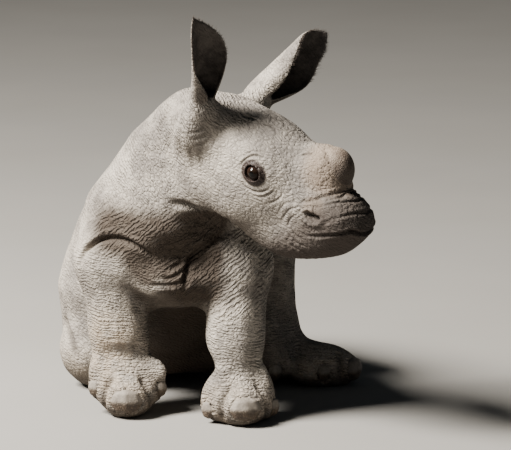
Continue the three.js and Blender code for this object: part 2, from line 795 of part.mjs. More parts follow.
// ---------------------------------------------------------------- the group
const COLOURS = {
  eye: [0x2a1a12, 0.15],
  horn: [0x6f655c, 0.7],
  nail: [0x9c978f, 0.6],
  ear: [0xa39c93, 0.85],
  hide: [0xb2aba1, 0.85],
};

function materialOf(name) {
  const kind = Object.keys(COLOURS).find((key) => name.includes(key)) ?? "hide";
  const [color, roughness] = COLOURS[kind];
  return new THREE.MeshStandardMaterial({ color, roughness, metalness: 0 });
}

// The origin is the middle of the bounding box, at floor level.
const bounds = Object.values(nodes).map((node) => node.boundingBox());
const low = [0, 1, 2].map((m) => Math.min(...bounds.map((box) => box.min[m])));
const high = [0, 1, 2].map((m) => Math.max(...bounds.map((box) => box.max[m])));
const shift = [-(low[0] + high[0]) / 2, -(low[1] + high[1]) / 2, -low[2]];

const calf = new THREE.Group();
calf.name = "white_rhinoceros_calf";
for (const [name, node] of Object.entries(nodes)) {
  const { vertProperties, triVerts } = node.translate(shift).simplify(SLIVER).getMesh();
  const geometry = new THREE.BufferGeometry();
  geometry.setAttribute("position", new THREE.BufferAttribute(new Float32Array(vertProperties), 3));
  geometry.setIndex(new THREE.BufferAttribute(new Uint32Array(triVerts), 1));
  geometry.computeVertexNormals();
  const mesh = new THREE.Mesh(geometry, materialOf(name));
  mesh.name = name;
  calf.add(mesh);
}

export default calf;
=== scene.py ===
"""A newborn white rhinoceros calf, sitting: one hide over all its flesh, with eyes, horn bud and toenails
let into it, and the few hairs that such a calf has: bristles on its ear rims and tail, and its lashes."""
import math

import bpy
import numpy as np
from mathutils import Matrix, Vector
from mathutils.bvhtree import BVHTree


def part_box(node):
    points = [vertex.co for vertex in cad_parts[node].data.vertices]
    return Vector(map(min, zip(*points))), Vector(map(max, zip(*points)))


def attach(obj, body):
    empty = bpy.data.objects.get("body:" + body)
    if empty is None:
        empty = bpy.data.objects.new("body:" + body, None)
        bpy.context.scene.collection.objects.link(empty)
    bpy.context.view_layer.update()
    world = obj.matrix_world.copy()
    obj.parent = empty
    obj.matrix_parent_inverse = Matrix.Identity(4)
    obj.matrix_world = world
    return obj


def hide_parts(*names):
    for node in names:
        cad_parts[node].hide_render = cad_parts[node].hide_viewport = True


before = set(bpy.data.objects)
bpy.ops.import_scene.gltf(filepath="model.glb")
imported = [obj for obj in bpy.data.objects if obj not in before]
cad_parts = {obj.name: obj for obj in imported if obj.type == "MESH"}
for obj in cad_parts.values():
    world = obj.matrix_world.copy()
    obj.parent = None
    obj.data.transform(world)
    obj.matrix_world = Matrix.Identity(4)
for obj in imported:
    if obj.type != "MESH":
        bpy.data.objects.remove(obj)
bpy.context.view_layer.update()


# ---------------------------------------------------------------- ears
# Each ear is a cup of thin gristle under the hide, rolled into a tube at its root. It is shaped from a flat
# leaf, whose edges are bent forward, and then thickened. It joins the head as one skin further down.
# The calf faces -Y and its left side is +X, but its head is turned and has directions of its own, which the
# eyes and the horn bud give: the bud stands 87 mm ahead of the line between the eyes and 67 mm above it.
BUD_AHEAD, BUD_ABOVE = 0.087, 0.067
EYE_AHEAD, EYE_ABOVE = 0.148, -0.045  # from the poll, the top of the head between the ears
EAR_LENGTH = 0.180
EAR_SLANT = 0.1  # how much shorter the ear is along its inner rim
EAR_WALL = 0.0052
EAR_ASIDE, EAR_BELOW = 0.074, 0.030  # of both roots, from the poll
EAR_LEAN = 0.027  # how far the root stands behind the line of the ear
EAR_TUBE, EAR_WIDEST, EAR_TIP = 0.018, 0.038, 0.017  # half widths of root, open leaf and blunt tip
EAR_WIDEST_AT = 0.66  # as a share of the length
EAR_TIP_BLUNT = 3  # higher keeps the leaf wide for longer before the tip
EAR_CUP = 0.036  # depth of the cup
EAR_ROLL, EAR_OUTER, EAR_INNER = 172, 58, 45  # degrees that the edges are rolled at the root, and once open
EAR_OPENS = (0.05, 0.75)  # over which share of the length the outer edge opens
EAR_INNER_DELAY = 1.4  # above 1 keeps the inner edge rolled for longer
EAR_BELLY_TURN = math.radians(15)  # how far towards the inner rim the back of the cup bulges most
EAR_BELLY_SKEW = 0.7  # below 1 sets the bulge nearer the root
EAR_COLUMNS, EAR_ROWS = 44, 60
EAR_RIM, EAR_FULL = 0.5, 0.2  # share of the wall at the rims, and how far in across the leaf it is full
# How far forward each is rooted, the degrees that it nods forward, splays out and turns its opening
# outwards, how far its middle bows forward, and how far the back of its cup bulges.
EARS = {
    "right": {"forward": 0.008, "nod": -30, "splay": 14, "turn": 0, "bow": 0.011, "belly": 0.008},
    "left": {"forward": 0.020, "nod": -8, "splay": 36, "turn": -34, "bow": 0.022, "belly": 0.031},
}
EARS["right"]["side"], EARS["left"]["side"] = -1, 1


def middle(node):
    low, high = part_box(node)
    return np.array((low + high) / 2)


HEAD_LEFT = middle("eye_left") - middle("eye_right")
HEAD_LEFT /= np.linalg.norm(HEAD_LEFT)
eye_line = (middle("eye_left") + middle("eye_right")) / 2
to_bud = middle("horn_bud") - eye_line
over_bud = np.cross(to_bud, HEAD_LEFT)
HEAD_FORWARD = (BUD_AHEAD * to_bud - BUD_ABOVE * over_bud) / (BUD_AHEAD**2 + BUD_ABOVE**2)
HEAD_UP = np.cross(HEAD_FORWARD, HEAD_LEFT)
HEAD_AXES = np.array([HEAD_FORWARD, HEAD_LEFT, HEAD_UP])
POLL = eye_line - EYE_AHEAD * HEAD_FORWARD - EYE_ABOVE * HEAD_UP


def on_head(forward, left, up):
    return POLL + np.array([forward, left, up]) @ HEAD_AXES


def unit(vector):
    return np.array(vector) / np.linalg.norm(vector)


def rise(x, start, end):
    """0 before start and 1 after end, with a smooth step between them."""
    t = np.clip((x - start) / (end - start), 0, 1)
    return t * t * (3 - 2 * t)


def ear_root(spec):
    return on_head(spec["forward"], spec["side"] * EAR_ASIDE, -EAR_BELOW)


def ear_directions(spec):
    """The ear's own directions: along it, into its opening, and across it."""
    nod, splay, turn = (math.radians(spec[key]) for key in ("nod", "splay", "turn"))
    upright = math.cos(splay)
    pointing = (upright * math.sin(nod), spec["side"] * math.sin(splay), upright * math.cos(nod))
    along = np.array(pointing) @ HEAD_AXES
    opening = np.array((math.cos(turn), spec["side"] * math.sin(turn), 0)) @ HEAD_AXES
    opening = unit(opening - along * (along @ opening))
    return along, opening, np.cross(along, opening)


def on_ear(spec, across, height):
    """Points of the ear's leaf: across from inner rim (0) to outer rim (1), and height from root to tip."""
    along, opening, left = ear_directions(spec)
    closing = np.maximum(0, (height - EAR_WIDEST_AT) / (1 - EAR_WIDEST_AT)) ** EAR_TIP_BLUNT
    widened = (EAR_WIDEST - EAR_TUBE) * rise(height, 0, EAR_WIDEST_AT)
    half = EAR_TUBE + widened - (EAR_WIDEST - EAR_TIP) * closing
    cup = EAR_CUP - (EAR_CUP - EAR_TIP) * closing
    outer = EAR_ROLL - (EAR_ROLL - EAR_OUTER) * rise(height, *EAR_OPENS)
    inner = EAR_ROLL - (EAR_ROLL - EAR_INNER) * height**EAR_INNER_DELAY
    angle = np.radians(-inner + (inner + outer) * across)
    lean = spec["bow"] * np.sin(np.pi * height) - EAR_LEAN * (1 - height) ** 2
    bulge = np.maximum(0, np.cos(angle + EAR_BELLY_TURN)) ** 2
    belly = spec["belly"] * np.sin(np.pi * height**EAR_BELLY_SKEW) * bulge
    aside = half * np.sin(angle) * spec["side"]
    ahead = cup / 2 * (1 - np.cos(angle)) + lean - belly
    rise_along = EAR_LENGTH * height * (1 - EAR_SLANT * (1 - across) * height)
    points = ear_root(spec) + np.multiply.outer(rise_along, along)
    return points + np.multiply.outer(ahead, opening) + np.multiply.outer(aside, left)


def coordinates(mesh):
    co = np.empty(len(mesh.vertices) * 3)
    mesh.vertices.foreach_get("co", co)
    return co.reshape(-1, 3)


def set_coordinates(mesh, co):
    mesh.vertices.foreach_set("co", co.ravel())
    mesh.update()


def modify(piece, kind, **settings):
    """Adds a modifier to a piece and applies it."""
    bpy.context.view_layer.objects.active = piece
    bpy.ops.object.modifier_add(type=kind)
    modifier = piece.modifiers[-1]
    for key, value in settings.items():
        setattr(modifier, key, value)
    bpy.ops.object.modifier_apply(modifier=modifier.name)


def work_on_all(tool, **settings):
    """Uses one tool of edit mode on the whole of the active piece."""
    bpy.ops.object.mode_set(mode="EDIT")
    bpy.ops.mesh.select_all(action="SELECT")
    tool(**settings)
    bpy.ops.object.mode_set(mode="OBJECT")


WEIGHT_STEPS = 20


def weigh(piece, name, weights):
    """Gives a piece a vertex group of these weights, from 0 to 1 in even steps."""
    group = piece.vertex_groups.new(name=name)
    steps = np.round(np.clip(weights, 0, 1) * WEIGHT_STEPS).astype(int)
    for step in range(1, WEIGHT_STEPS + 1):
        group.add(np.flatnonzero(steps == step).tolist(), step / WEIGHT_STEPS, "REPLACE")


def make_ear(name, spec):
    bpy.ops.object.select_all(action="DESELECT")
    bpy.ops.mesh.primitive_grid_add(x_subdivisions=EAR_COLUMNS, y_subdivisions=EAR_ROWS, size=1)
    ear = bpy.context.object
    ear.name = name
    flat = coordinates(ear.data) + 0.5
    set_coordinates(ear.data, on_ear(spec, flat[:, 0], flat[:, 1]))
    leaf = BVHTree.FromObject(ear, bpy.context.evaluated_depsgraph_get())
    rim = np.minimum(flat[:, 0], 1 - flat[:, 0])
    weigh(ear, "thickness", EAR_RIM + (1 - EAR_RIM) * rim / EAR_FULL)
    modify(ear, "SOLIDIFY", thickness=EAR_WALL, offset=0, vertex_group="thickness", use_rim=True)
    work_on_all(bpy.ops.mesh.normals_make_consistent, inside=False)
    return ear, leaf


ears, leaves = zip(*(make_ear("ear_" + name, spec) for name, spec in EARS.items()))


# ---------------------------------------------------------------- hide
# One skin over all the flesh, thick and nearly bare. It is cast from the solid pieces of the body, with
# their cuts closed up, smoothed most where the flesh is full, less on the head and feet, and then folded.
FLESH = ["head", "neck", "trunk", "tail", "foreleg_left", "foreleg_right", "hindleg_left", "hindleg_right"]
LET_IN = [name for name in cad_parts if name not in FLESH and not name.startswith("ear")]
NAILS = [name for name in LET_IN if "nail" in name]
CUT = 0.0004  # how far every piece swells, so that the cuts between them close
SAME_PLACE = 0.00004  # corners nearer than this are one
COARSE, FINE = 0.003, 0.0024  # voxels of the flesh, and of the flesh with its ears
EASE, EASE_ROUNDS, LAST_ROUNDS = 0.5, 90, 3  # strength of the smoothing, and its rounds at each voxel
FULLNESS = 0.0022  # how far the loose parts swell to make up for the smoothing
MOST_TRIANGLES = 196000  # of the finished hide

bpy.ops.object.select_all(action="DESELECT")
for name in FLESH + LET_IN:
    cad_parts[name].select_set(True)
bpy.context.view_layer.objects.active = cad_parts["head"]
bpy.ops.object.duplicate()
bpy.ops.object.join()
hide = bpy.context.object
hide.name = "hide"
hide.data.materials.clear()
work_on_all(bpy.ops.mesh.remove_doubles, threshold=SAME_PLACE)
modify(hide, "DISPLACE", mid_level=0, strength=CUT)
modify(hide, "REMESH", mode="VOXEL", voxel_size=COARSE)


def in_head(co):
    return (co - POLL) @ HEAD_AXES.T


def headness(co):
    head = in_head(co)
    return rise(head[:, 0], 0.01, 0.06) * rise(head[:, 2], -0.2, -0.17)


def slack(co):
    """How loose the flesh is: full and round on the trunk, tighter on the legs, head and feet."""
    is_foot = rise(-co[:, 2], -0.11, -0.07) * (1 - rise(co[:, 1], 0.16, 0.2))
    legs = rise(-co[:, 2], -0.24, -0.2) * (1 - rise(co[:, 1], 0.1, 0.2))
    return (1 - 0.72 * headness(co)) * (1 - 0.5 * legs) * (1 - 0.35 * is_foot)


weigh(hide, "slack", slack(coordinates(hide.data)))
modify(hide, "SMOOTH", factor=EASE, iterations=EASE_ROUNDS, vertex_group="slack")
modify(hide, "DISPLACE", mid_level=0, strength=FULLNESS, vertex_group="slack")
hide.vertex_groups.clear()
for ear in ears:
    ear.select_set(True)
hide.select_set(True)
bpy.context.view_layer.objects.active = hide
bpy.ops.object.join()
modify(hide, "REMESH", mode="VOXEL", voxel_size=FINE)
modify(hide, "SMOOTH", factor=EASE, iterations=LAST_ROUNDS)

# The folds are arcs and rings about the landmarks of the head and legs. Sizes of folds are in mm, and each
# row starts with its depth and its half width. Angles are in degrees, with 0 forward on the head and 90 up.
# Landmarks of the head, forward and up from the poll:
EYE_AT = (EYE_AHEAD * 1000, EYE_ABOVE * 1000)
EAR_AT = (10, -30)
NOSTRIL_AT = (264, -30)
LIP_CORNER = (264, -74)
SNOUT_AXIS = -45  # the height of the line that the rings of the snout run round
# Round the eye: the radii forward and up, and the first and last angle.
EYE_ARCS = [
    (2.0, 2.4, (26, 31), 85, 215),
    (0.8, 1.8, (33, 38), 100, 185),
    (1.4, 2.0, (37, 31), 245, 368),
    (0.9, 2.0, (45, 41), 300, 372),
    (0.8, 2.0, (60, 50), 318, 368),
    (1.0, 5.0, (124, 128), 196, 224),  # this and the next are creases behind the jaw
    (0.8, 4.5, (104, 112), 198, 220),
]
# Over the snout: how far forward each is on top and at its ends, and how far round it goes on each side.
SNOUT_RINGS = [
    (2.4, 3.2, 284, 216, 104),
    (1.8, 2.6, 294, 252, 70),
    (1.6, 2.4, 305, 234, 98),
    (1.8, 2.8, 328, 286, 92),
]
EAR_FOLDS = 3  # wrinkles round the front of each ear's foot
CHEEK_FOLDS = 3  # round the corner of the mouth
CHIN_FOLDS = 3
NOSTRIL_FOLDS = 6  # short ones that fan out under the nostril
# Along the crown: the degrees aside, and how far forward each starts and ends.
CROWN_LINES = ((9, 80, 136), (27, 92, 132), (17, 30, 72), (36, 36, 84))
CROWN_WANDER = 0.05  # how far these wander to and fro, in radians
BUD_CREASE_AT, BUD_CREASE = (232, 14), (46, 30)  # the crease behind the horn bud: its middle and radii
MOUTH_DEPTH, MOUTH_WIDTH = 7.0, 2.9
MOUTH_LONG, MOUTH_WIDE = 90, 53  # from the corners to the front of the lips, and to each side
MOUTH_RISE = 60  # how much higher it is in front than at its corners
MOUTH_DIP = 5  # how far it sinks between a corner and the front
NOSTRIL_DEPTH, NOSTRIL_WIDTH = 14.0, 5.4
NOSTRIL_RADII = (17, 10)
LAY_POINTS = 170  # along one fold
HEAD_CLEAR, BODY_CLEAR = 0.15, 0.6  # from how far off a fold is laid onto the head, and onto the body
DROP = 0.012  # a fold is broken off where it would fall further than this from one point to the next
EYE_ASIDE, EYE_RADIUS = 0.068, 0.014
EYE_OPENING = (0.0150, 0.0132)  # half length and half height of the gap between the lids
EYE_SUNK = 0.004  # where the hide lies under the eye, from the middle of the ball
LID_TOP, LID_FALL = 0.0164, 24.0  # the lids' dome over the ball, and how fast it falls off outwards
LID_TUCK = 0.002  # how softly the hide runs into that dome
LID_REACH = 0.03  # how far out from the eye the lids reach


left_toe, right_toe = (middle(f"foreleg_{side}_nail_middle") for side in ("left", "right"))
between_toes = (left_toe + right_toe) / 2
# Broad hollows: depth, then the middle and the half sizes of each.
HOLLOWS = [
    (0.026, between_toes + (-0.015, 0.013, 0.253), (0.075, 0.060, 0.045)),  # chest
    (0.016, between_toes + (0.045, 0.003, 0.313), (0.060, 0.050, 0.034)),  # throat
    (0.010, right_toe + (0.028, 0.008, 0.230), (0.040, 0.040, 0.040)),  # armpit
    (0.009, right_toe + (-0.010, 0.058, 0.076), (0.046, 0.060, 0.020)),  # above the right forefoot
]
# The left ankle's pinch: its height, its reach up and down, how strong it is, and how far behind the toe.
ANKLE, ANKLE_REACH, ANKLE_PINCH, ANKLE_BACK = 0.088, 0.026, 0.2, 0.057


def within(co, low, high, soft=0.03):
    """1 inside a box given by its lowest and highest corners, fading to 0 over a soft edge."""
    inside = np.ones(len(co))
    for m in range(3):
        over = rise(co[:, m], low[m] - soft, low[m] + soft)
        inside *= over * (1 - rise(co[:, m], high[m] - soft, high[m] + soft))
    return inside


def leg_zone(co, toe, bottom, top):
    """1 on the foreleg that stands on this toe, between two heights."""
    return within(co, (toe[0] - 0.13, toe[1] - 0.1, bottom), (toe[0] + 0.072, toe[1] + 0.17, top))


def lay(places, ways, clear=BODY_CLEAR):
    """Lays a line onto the hide from outside it, and keeps its longest unbroken run."""
    ways = np.broadcast_to(ways, places.shape)
    hits = [tree.ray_cast(Vector(place - clear * way), Vector(way))[0] for place, way in zip(places, ways)]
    line = np.array([hit for hit in hits if hit is not None])
    drops = np.linalg.norm(np.diff(line, axis=0), axis=1) > DROP
    return max(np.split(line, np.flatnonzero(drops) + 1), key=len)


def round_arc(centre, radii, start, end):
    """Two coordinates of an arc about a centre, in metres."""
    turn = np.radians(np.linspace(start, end, LAY_POINTS))
    return [(centre[m] + radii[m] * swing) / 1000 for m, swing in ((0, np.cos(turn)), (1, np.sin(turn)))]


def head_side(forward, up):
    """A line on both sides of the head, given as it is seen from the side."""
    flat = np.stack([forward, np.zeros_like(forward), up], axis=1) @ HEAD_AXES + POLL
    return [lay(flat, -side * HEAD_LEFT, HEAD_CLEAR) for side in (1, -1)]


def round_snout(forward, angle):
    """A line over the snout, from places along it and angles away from straight up."""
    ways = np.stack([0 * angle, np.sin(angle), np.cos(angle)], axis=1) @ HEAD_AXES
    axis = np.stack([forward, 0 * angle, np.full_like(forward, SNOUT_AXIS / 1000)], axis=1)
    return lay(axis @ HEAD_AXES + POLL, -ways, HEAD_CLEAR)


def from_front(across, up):
    """A line of the body, given as it is seen from the front."""
    return lay(np.stack([across, 0 * across, up], axis=1), np.array((0.0, 1.0, 0.0)))


def beside(co, line, reach):
    """Which places lie within reach of a line, how far from it they are, and how far along it."""
    box = ((co > line.min(0) - reach) & (co < line.max(0) + reach)).all(1)
    near = np.flatnonzero(box)
    apart = np.linalg.norm(co[near, None] - line[None], axis=2)
    nearest = apart.argmin(1)
    gap = apart[np.arange(len(near)), nearest]
    inside = gap < reach
    return near[inside], gap[inside], nearest[inside] / (len(line) - 1)


def select_faces(piece, chosen):
    """Selects these faces of a piece and opens it in edit mode."""
    bpy.context.view_layer.objects.active = piece
    bpy.ops.object.mode_set(mode="EDIT")
    bpy.ops.mesh.select_mode(type="FACE")
    bpy.ops.mesh.select_all(action="DESELECT")
    bpy.ops.object.mode_set(mode="OBJECT")
    piece.data.polygons.foreach_set("select", chosen)
    bpy.ops.object.mode_set(mode="EDIT")


def face_centres(mesh):
    centres = np.empty(len(mesh.polygons) * 3)
    mesh.polygons.foreach_get("center", centres)
    return centres.reshape(-1, 3)


def split_near(piece, places, reach):
    """Splits the faces near these places in four."""
    centres = face_centres(piece.data)
    chosen = np.zeros(len(centres), bool)
    for line in places:
        chosen[beside(centres, line, reach)[0]] = True
    select_faces(piece, chosen)
    bpy.ops.mesh.subdivide(number_cuts=1, smoothness=0)
    bpy.ops.object.mode_set(mode="OBJECT")


def normals(mesh):
    directions = np.empty(len(mesh.vertices) * 3)
    mesh.vertices.foreach_get("normal", directions)
    return directions.reshape(-1, 3)


tree = BVHTree.FromObject(hide, bpy.context.evaluated_depsgraph_get())
folds = []
FACE_LIP, BODY_LIP = 0.25, 0.08  # how high the skin rolls up beside a fold, as a share of its depth


def fold(depth, width, *lines, lip=FACE_LIP):
    """Notes a fold of this depth and half width along each of these lines."""
    folds.extend((depth / 1000, width / 1000, lip, line) for line in lines)


for depth, width, radii, start, end in EYE_ARCS:
    fold(depth, width, *head_side(*round_arc(EYE_AT, radii, start, end)))
for depth, width, top, ends, down in SNOUT_RINGS:
    share = np.linspace(-1, 1, 2 * LAY_POINTS)
    forward = (top - (top - ends) * np.abs(share) ** 1.5) / 1000
    fold(depth, width, round_snout(forward, np.radians(down * share)))
for m in range(EAR_FOLDS):
    radius = 26 + 10 * m
    arc = round_arc(EAR_AT, (radius, radius * 1.4), -82 + 14 * m, -8 - 9 * m)
    fold(0.7 - 0.1 * m, 2.4, *head_side(*arc))
for m in range(CHEEK_FOLDS):
    radius = 22 + 12 * m
    arc = round_arc(LIP_CORNER, (radius, radius * 1.2), 130 - 9 * m, 222 - 12 * m)
    fold(1.3 - 0.3 * m, 2.1, *head_side(*arc))
for m in range(CHIN_FOLDS):
    radius = 13 + 11 * m
    arc = round_arc(LIP_CORNER, (radius * 1.6, radius), 235, 318 + 10 * m)
    fold(1.5 - 0.2 * m, 2.1, *head_side(*arc))
for m in range(NOSTRIL_FOLDS):
    turn = math.radians(205 + 22 * m)
    reach = np.linspace(17, 30, LAY_POINTS)
    forward, up = NOSTRIL_AT[0] + reach * math.cos(turn), NOSTRIL_AT[1] + reach * math.sin(turn)
    fold(0.8, 1.8, *head_side(forward / 1000, up / 1000))
for aside, start, end in CROWN_LINES:
    forward = np.linspace(start, end, LAY_POINTS) / 1000
    wander = CROWN_WANDER * np.sin(forward * 180)
    for side in (1, -1):
        fold(1.5, 2.0, round_snout(forward, side * math.radians(aside) + wander))
fold(2.2, 2.2, *head_side(*round_arc(BUD_CREASE_AT, BUD_CREASE, 128, 168)))
fold(NOSTRIL_DEPTH, NOSTRIL_WIDTH, *head_side(*round_arc(NOSTRIL_AT, NOSTRIL_RADII, 235, 385)))
turn = np.linspace(-math.pi / 2, math.pi / 2, 2 * LAY_POINTS)
risen = rise(np.cos(turn), 0.1, 0.85)
mouth = np.stack([LIP_CORNER[0] + MOUTH_LONG * np.cos(turn), MOUTH_WIDE * np.sin(turn)], axis=1)
sunk = MOUTH_DIP * np.sin(np.pi * risen)
mouth = np.column_stack([mouth, LIP_CORNER[1] - sunk + MOUTH_RISE * risen]) / 1000
mouth_line = np.array([tree.find_nearest(place)[0] for place in POLL + mouth @ HEAD_AXES])
fold(MOUTH_DEPTH, MOUTH_WIDTH, mouth_line)

# On the body: the crease over the top of each foreleg, the ruck of folds between them, the fold over that
# ruck, the folds of the right side of the neck, and the edge of the haunch.
over_right = (right_toe[0] * 1000 - 17, 250)
over_left = (left_toe[0] * 1000 + 16, 205)
over_ruck = (between_toes[0] * 1000 - 20, 300)
fold(11, 4.8, from_front(*round_arc(over_right, (66, 63), 12, 180)), lip=BODY_LIP)
fold(13, 5.5, from_front(*round_arc(over_left, (124, 132), 104, 176)), lip=BODY_LIP)
CHEST_FOLDS = 8
CHEST_BOTTOM, CHEST_PITCH = 0.228, 0.0165  # height of the lowest, and from one to the next
CHEST_SLOPE, CHEST_SAG, CHEST_WAVER = 0.42, 0.012, 0.003
for m in range(CHEST_FOLDS):
    share = np.linspace(0, 1, LAY_POINTS)
    start, end = between_toes[0] - 0.075 + 0.012 * m, between_toes[0] + 0.055 + 0.004 * m
    across = start + (end - start) * share
    sloping = CHEST_BOTTOM + CHEST_PITCH * m + CHEST_SLOPE * (end - start) * share
    height = sloping - CHEST_SAG * np.sin(np.pi * share) + CHEST_WAVER * np.sin(9 * share + 2 * m)
    fold(5.5 - 0.3 * m, 4.4, from_front(across, height), lip=BODY_LIP)
fold(8, 6.0, from_front(*round_arc(over_ruck, (85, 85), 30, 100)), lip=BODY_LIP)
NECK_FOLDS = 3
for m in range(NECK_FOLDS):
    arc = round_arc(EYE_AT, (150 + 30 * m, 158 + 34 * m), 178 + 3 * m, 214)
    fold(1.1 - 0.2 * m, 8.0, head_side(*arc)[1], lip=BODY_LIP)
HAUNCH_AT, HAUNCH_RADII = (83, 30), (84, 95)  # the right haunch: how far back and up, and its radii
haunch = round_arc(HAUNCH_AT, HAUNCH_RADII, 90, 168)
across_body = np.array((1.0, 0.0, 0.0))
fold(4, 6.0, lay(np.stack([0 * haunch[0], *haunch], axis=1), across_body), lip=BODY_LIP)

# Between the toes of a foot the grooves run from the floor up towards its ankle.
GROOVE_TOP, GROOVE_LEAN = 0.074, 0.35  # how high they run, and how far they lean towards the ankle
OUTER_TOE, MIDDLE_TOE = 0.55, 0.45  # shares of the two toes in the place of the groove between them
for foot, depth in (("foreleg_left", 6), ("foreleg_right", 6), ("hindleg_left", 5)):
    nails = [middle(f"{foot}_nail_{spot}") for spot in ("left", "middle", "right")]
    ankle = np.mean(nails, axis=0)
    for toe in (nails[0], nails[2]):
        height = np.linspace(0.008, GROOVE_TOP, LAY_POINTS)
        share = height / GROOVE_TOP
        cleft = OUTER_TOE * toe + MIDDLE_TOE * nails[1]
        places = cleft + np.outer(GROOVE_LEAN * share, ankle - cleft)
        places[:, 2] = height
        fold(depth, 5.6, np.array([tree.find_nearest(place)[0] for place in places]), lip=BODY_LIP)

# The hide gets smaller faces along its fine folds, and the smallest round the eyes.
eyes = [on_head(EYE_AHEAD, side * EYE_ASIDE, EYE_ABOVE) for side in (1, -1)]
eye_spots = [eye[None] for eye in eyes]
fine_lines = [line for _, width, _, line in folds if width < 0.003]
split_near(hide, fine_lines + eye_spots, 0.009)
split_near(hide, eye_spots, 0.034)
split_near(hide, eye_spots, 0.027)

KNOB_HEIGHT, KNOBS = 0.0006, 470  # the knobs under the chin, and how close together they stand
BUD_SIZE = np.array((0.0395, 0.0328, 0.0445))  # half sizes of the horn bud: forward, aside and up
FILL, FILL_REACH = 0.005, 0.026  # how far the hide fills out in front, under the bud
FADE = 0.3  # share of a fold's length over which it dies away at each end
FOLD_REACH = 4.5  # half widths of a fold, past which it moves nothing
ROLL_AT = 2.1  # half widths from a fold to the roll beside it


def fade_out(along):
    """1 along the middle of a fold and 0 at its ends."""
    return rise(along, 0, FADE) * (1 - rise(along, 1 - FADE, 1))


def fold_profile(gap, along, depth, width, lip):
    """How far a fold moves the hide in or out, at these distances from its line."""
    furrow = np.exp(-((gap / width) ** 2))
    roll = np.exp(-(((gap - ROLL_AT * width) / width) ** 2))
    return fade_out(along) * depth * (lip * roll - furrow)


co = coordinates(hide.data)
out = normals(hide.data)
offset = np.zeros(len(co))
for depth, width, lip, line in folds:
    near, gap, along = beside(co, line, FOLD_REACH * width)
    offset[near] += fold_profile(gap, along, depth, width, lip)
for depth, spot, reach in HOLLOWS:
    apart = np.linalg.norm((co - spot) / reach, axis=1)
    offset -= depth * (1 - rise(apart, 0, 1.3)) * (out @ (0, -0.8, -0.2) > 0)
head = in_head(co)
knobbly = headness(co) * rise(head[:, 0], 0.2, 0.27) * rise(-head[:, 2], 0.08, 0.11)
under_bud = middle("horn_bud") + (BUD_SIZE * (1.05, 0, -0.5)) @ HEAD_AXES
offset += FILL * (1 - rise(np.linalg.norm(co - under_bud, axis=1), 0, FILL_REACH))
offset += KNOB_HEIGHT * knobbly * np.sin(head[:, 0] * KNOBS) * np.sin(head[:, 1] * KNOBS + 2)
co += out * offset[:, None]
ankle = leg_zone(co, left_toe, 0.0, 0.2) * np.exp(-(((co[:, 2] - ANKLE) / ANKLE_REACH) ** 2))
co[:, :2] -= (ankle * ANKLE_PINCH)[:, None] * (co - left_toe - (0, ANKLE_BACK, 0))[:, :2]


def eye_measure(co, side):
    """Places from the ball's middle (forward, aside, up), and how far out: 1 is the edge of the gap."""
    local = in_head(co) * (1, side, 1) - (EYE_AHEAD, EYE_ASIDE, EYE_ABOVE)
    return local, np.hypot(local[:, 0] / EYE_OPENING[0], local[:, 2] / EYE_OPENING[1])


for side in (1, -1):
    local, out_from_gap = eye_measure(co, side)
    around = np.hypot(local[:, 0], local[:, 2])
    near = np.flatnonzero((around < LID_REACH) & (local[:, 1] > -0.02))
    aside = local[near, 1]
    dome = LID_TOP - LID_FALL * around[near] ** 2
    tucked = np.maximum(LID_TUCK - np.abs(aside - dome), 0) ** 2 / (4 * LID_TUCK)
    lidded = np.maximum(aside, dome) + tucked
    gap = 1 - rise(out_from_gap[near], 0.93, 1.03)
    co[near] += np.outer((lidded - aside) * (1 - gap) + (EYE_SUNK - aside) * gap, HEAD_LEFT * side)

BUD_MIDDLE = middle("horn_bud")
BUD_LEAN = np.array((0.45, 0.0, 0.89))  # the way that the bud comes out of the hide
BUD_SHOWS = 0.012  # how far out along that way the hide ends
BUD_FILLET = (0.02, 0.6)  # how softly the hide climbs the bud, where it ends and low down
BED_DEPTH, BED_REACH = 0.0022, 0.0045  # how deep a bed is under its horn, and how near a nail it reaches
ROLL_HEIGHT, ROLL_REACH = 0.0011, 0.0035  # of the skin that swells round a nail
FACES_OUT = 0.35  # cosine of the widest angle between the hide and the face of the nail over it
in_bud = (co - BUD_MIDDLE) @ HEAD_AXES.T
shell = np.linalg.norm(in_bud / BUD_SIZE, axis=1)
out_along = in_bud @ BUD_LEAN
fillet = BUD_FILLET[1] - (BUD_FILLET[1] - BUD_FILLET[0]) * rise(out_along, BUD_SHOWS - 0.035, BUD_SHOWS)
swollen = np.maximum(shell, 1.0) + np.maximum(fillet - np.abs(shell - 1.0), 0) ** 2 / (4 * fillet)
bare = rise(out_along, BUD_SHOWS, BUD_SHOWS + 0.022) * (shell < 1 + BUD_FILLET[1])
swollen = swollen * (1 - bare) + (1 - BED_DEPTH / BUD_SIZE[1]) * bare
near = shell < 1 + BUD_FILLET[1]
co[near] = BUD_MIDDLE + (in_bud[near] * (swollen[near] / shell[near])[:, None]) @ HEAD_AXES
for name in NAILS:
    surface = BVHTree.FromObject(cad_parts[name], bpy.context.evaluated_depsgraph_get())
    low, high = (np.array(corner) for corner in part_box(name))
    near = np.flatnonzero(((co > low - 2 * BED_REACH) & (co < high + 2 * BED_REACH)).all(1))
    for index in near:
        place, facing, _, apart = surface.find_nearest(co[index], 2 * BED_REACH)
        if place is None:
            continue
        above = facing.dot(Vector(co[index]) - place)
        over_face = abs(above) > 0.8 * apart and facing.dot(Vector(out[index])) > FACES_OUT
        if abs(above) < BED_REACH and over_face:
            co[index] = place - facing * BED_DEPTH
        elif above > 0:
            co[index] += out[index] * ROLL_HEIGHT * math.exp(-((apart / ROLL_REACH) ** 2))
co[:, 2] = np.maximum(co[:, 2], 0)
set_coordinates(hide.data, co)

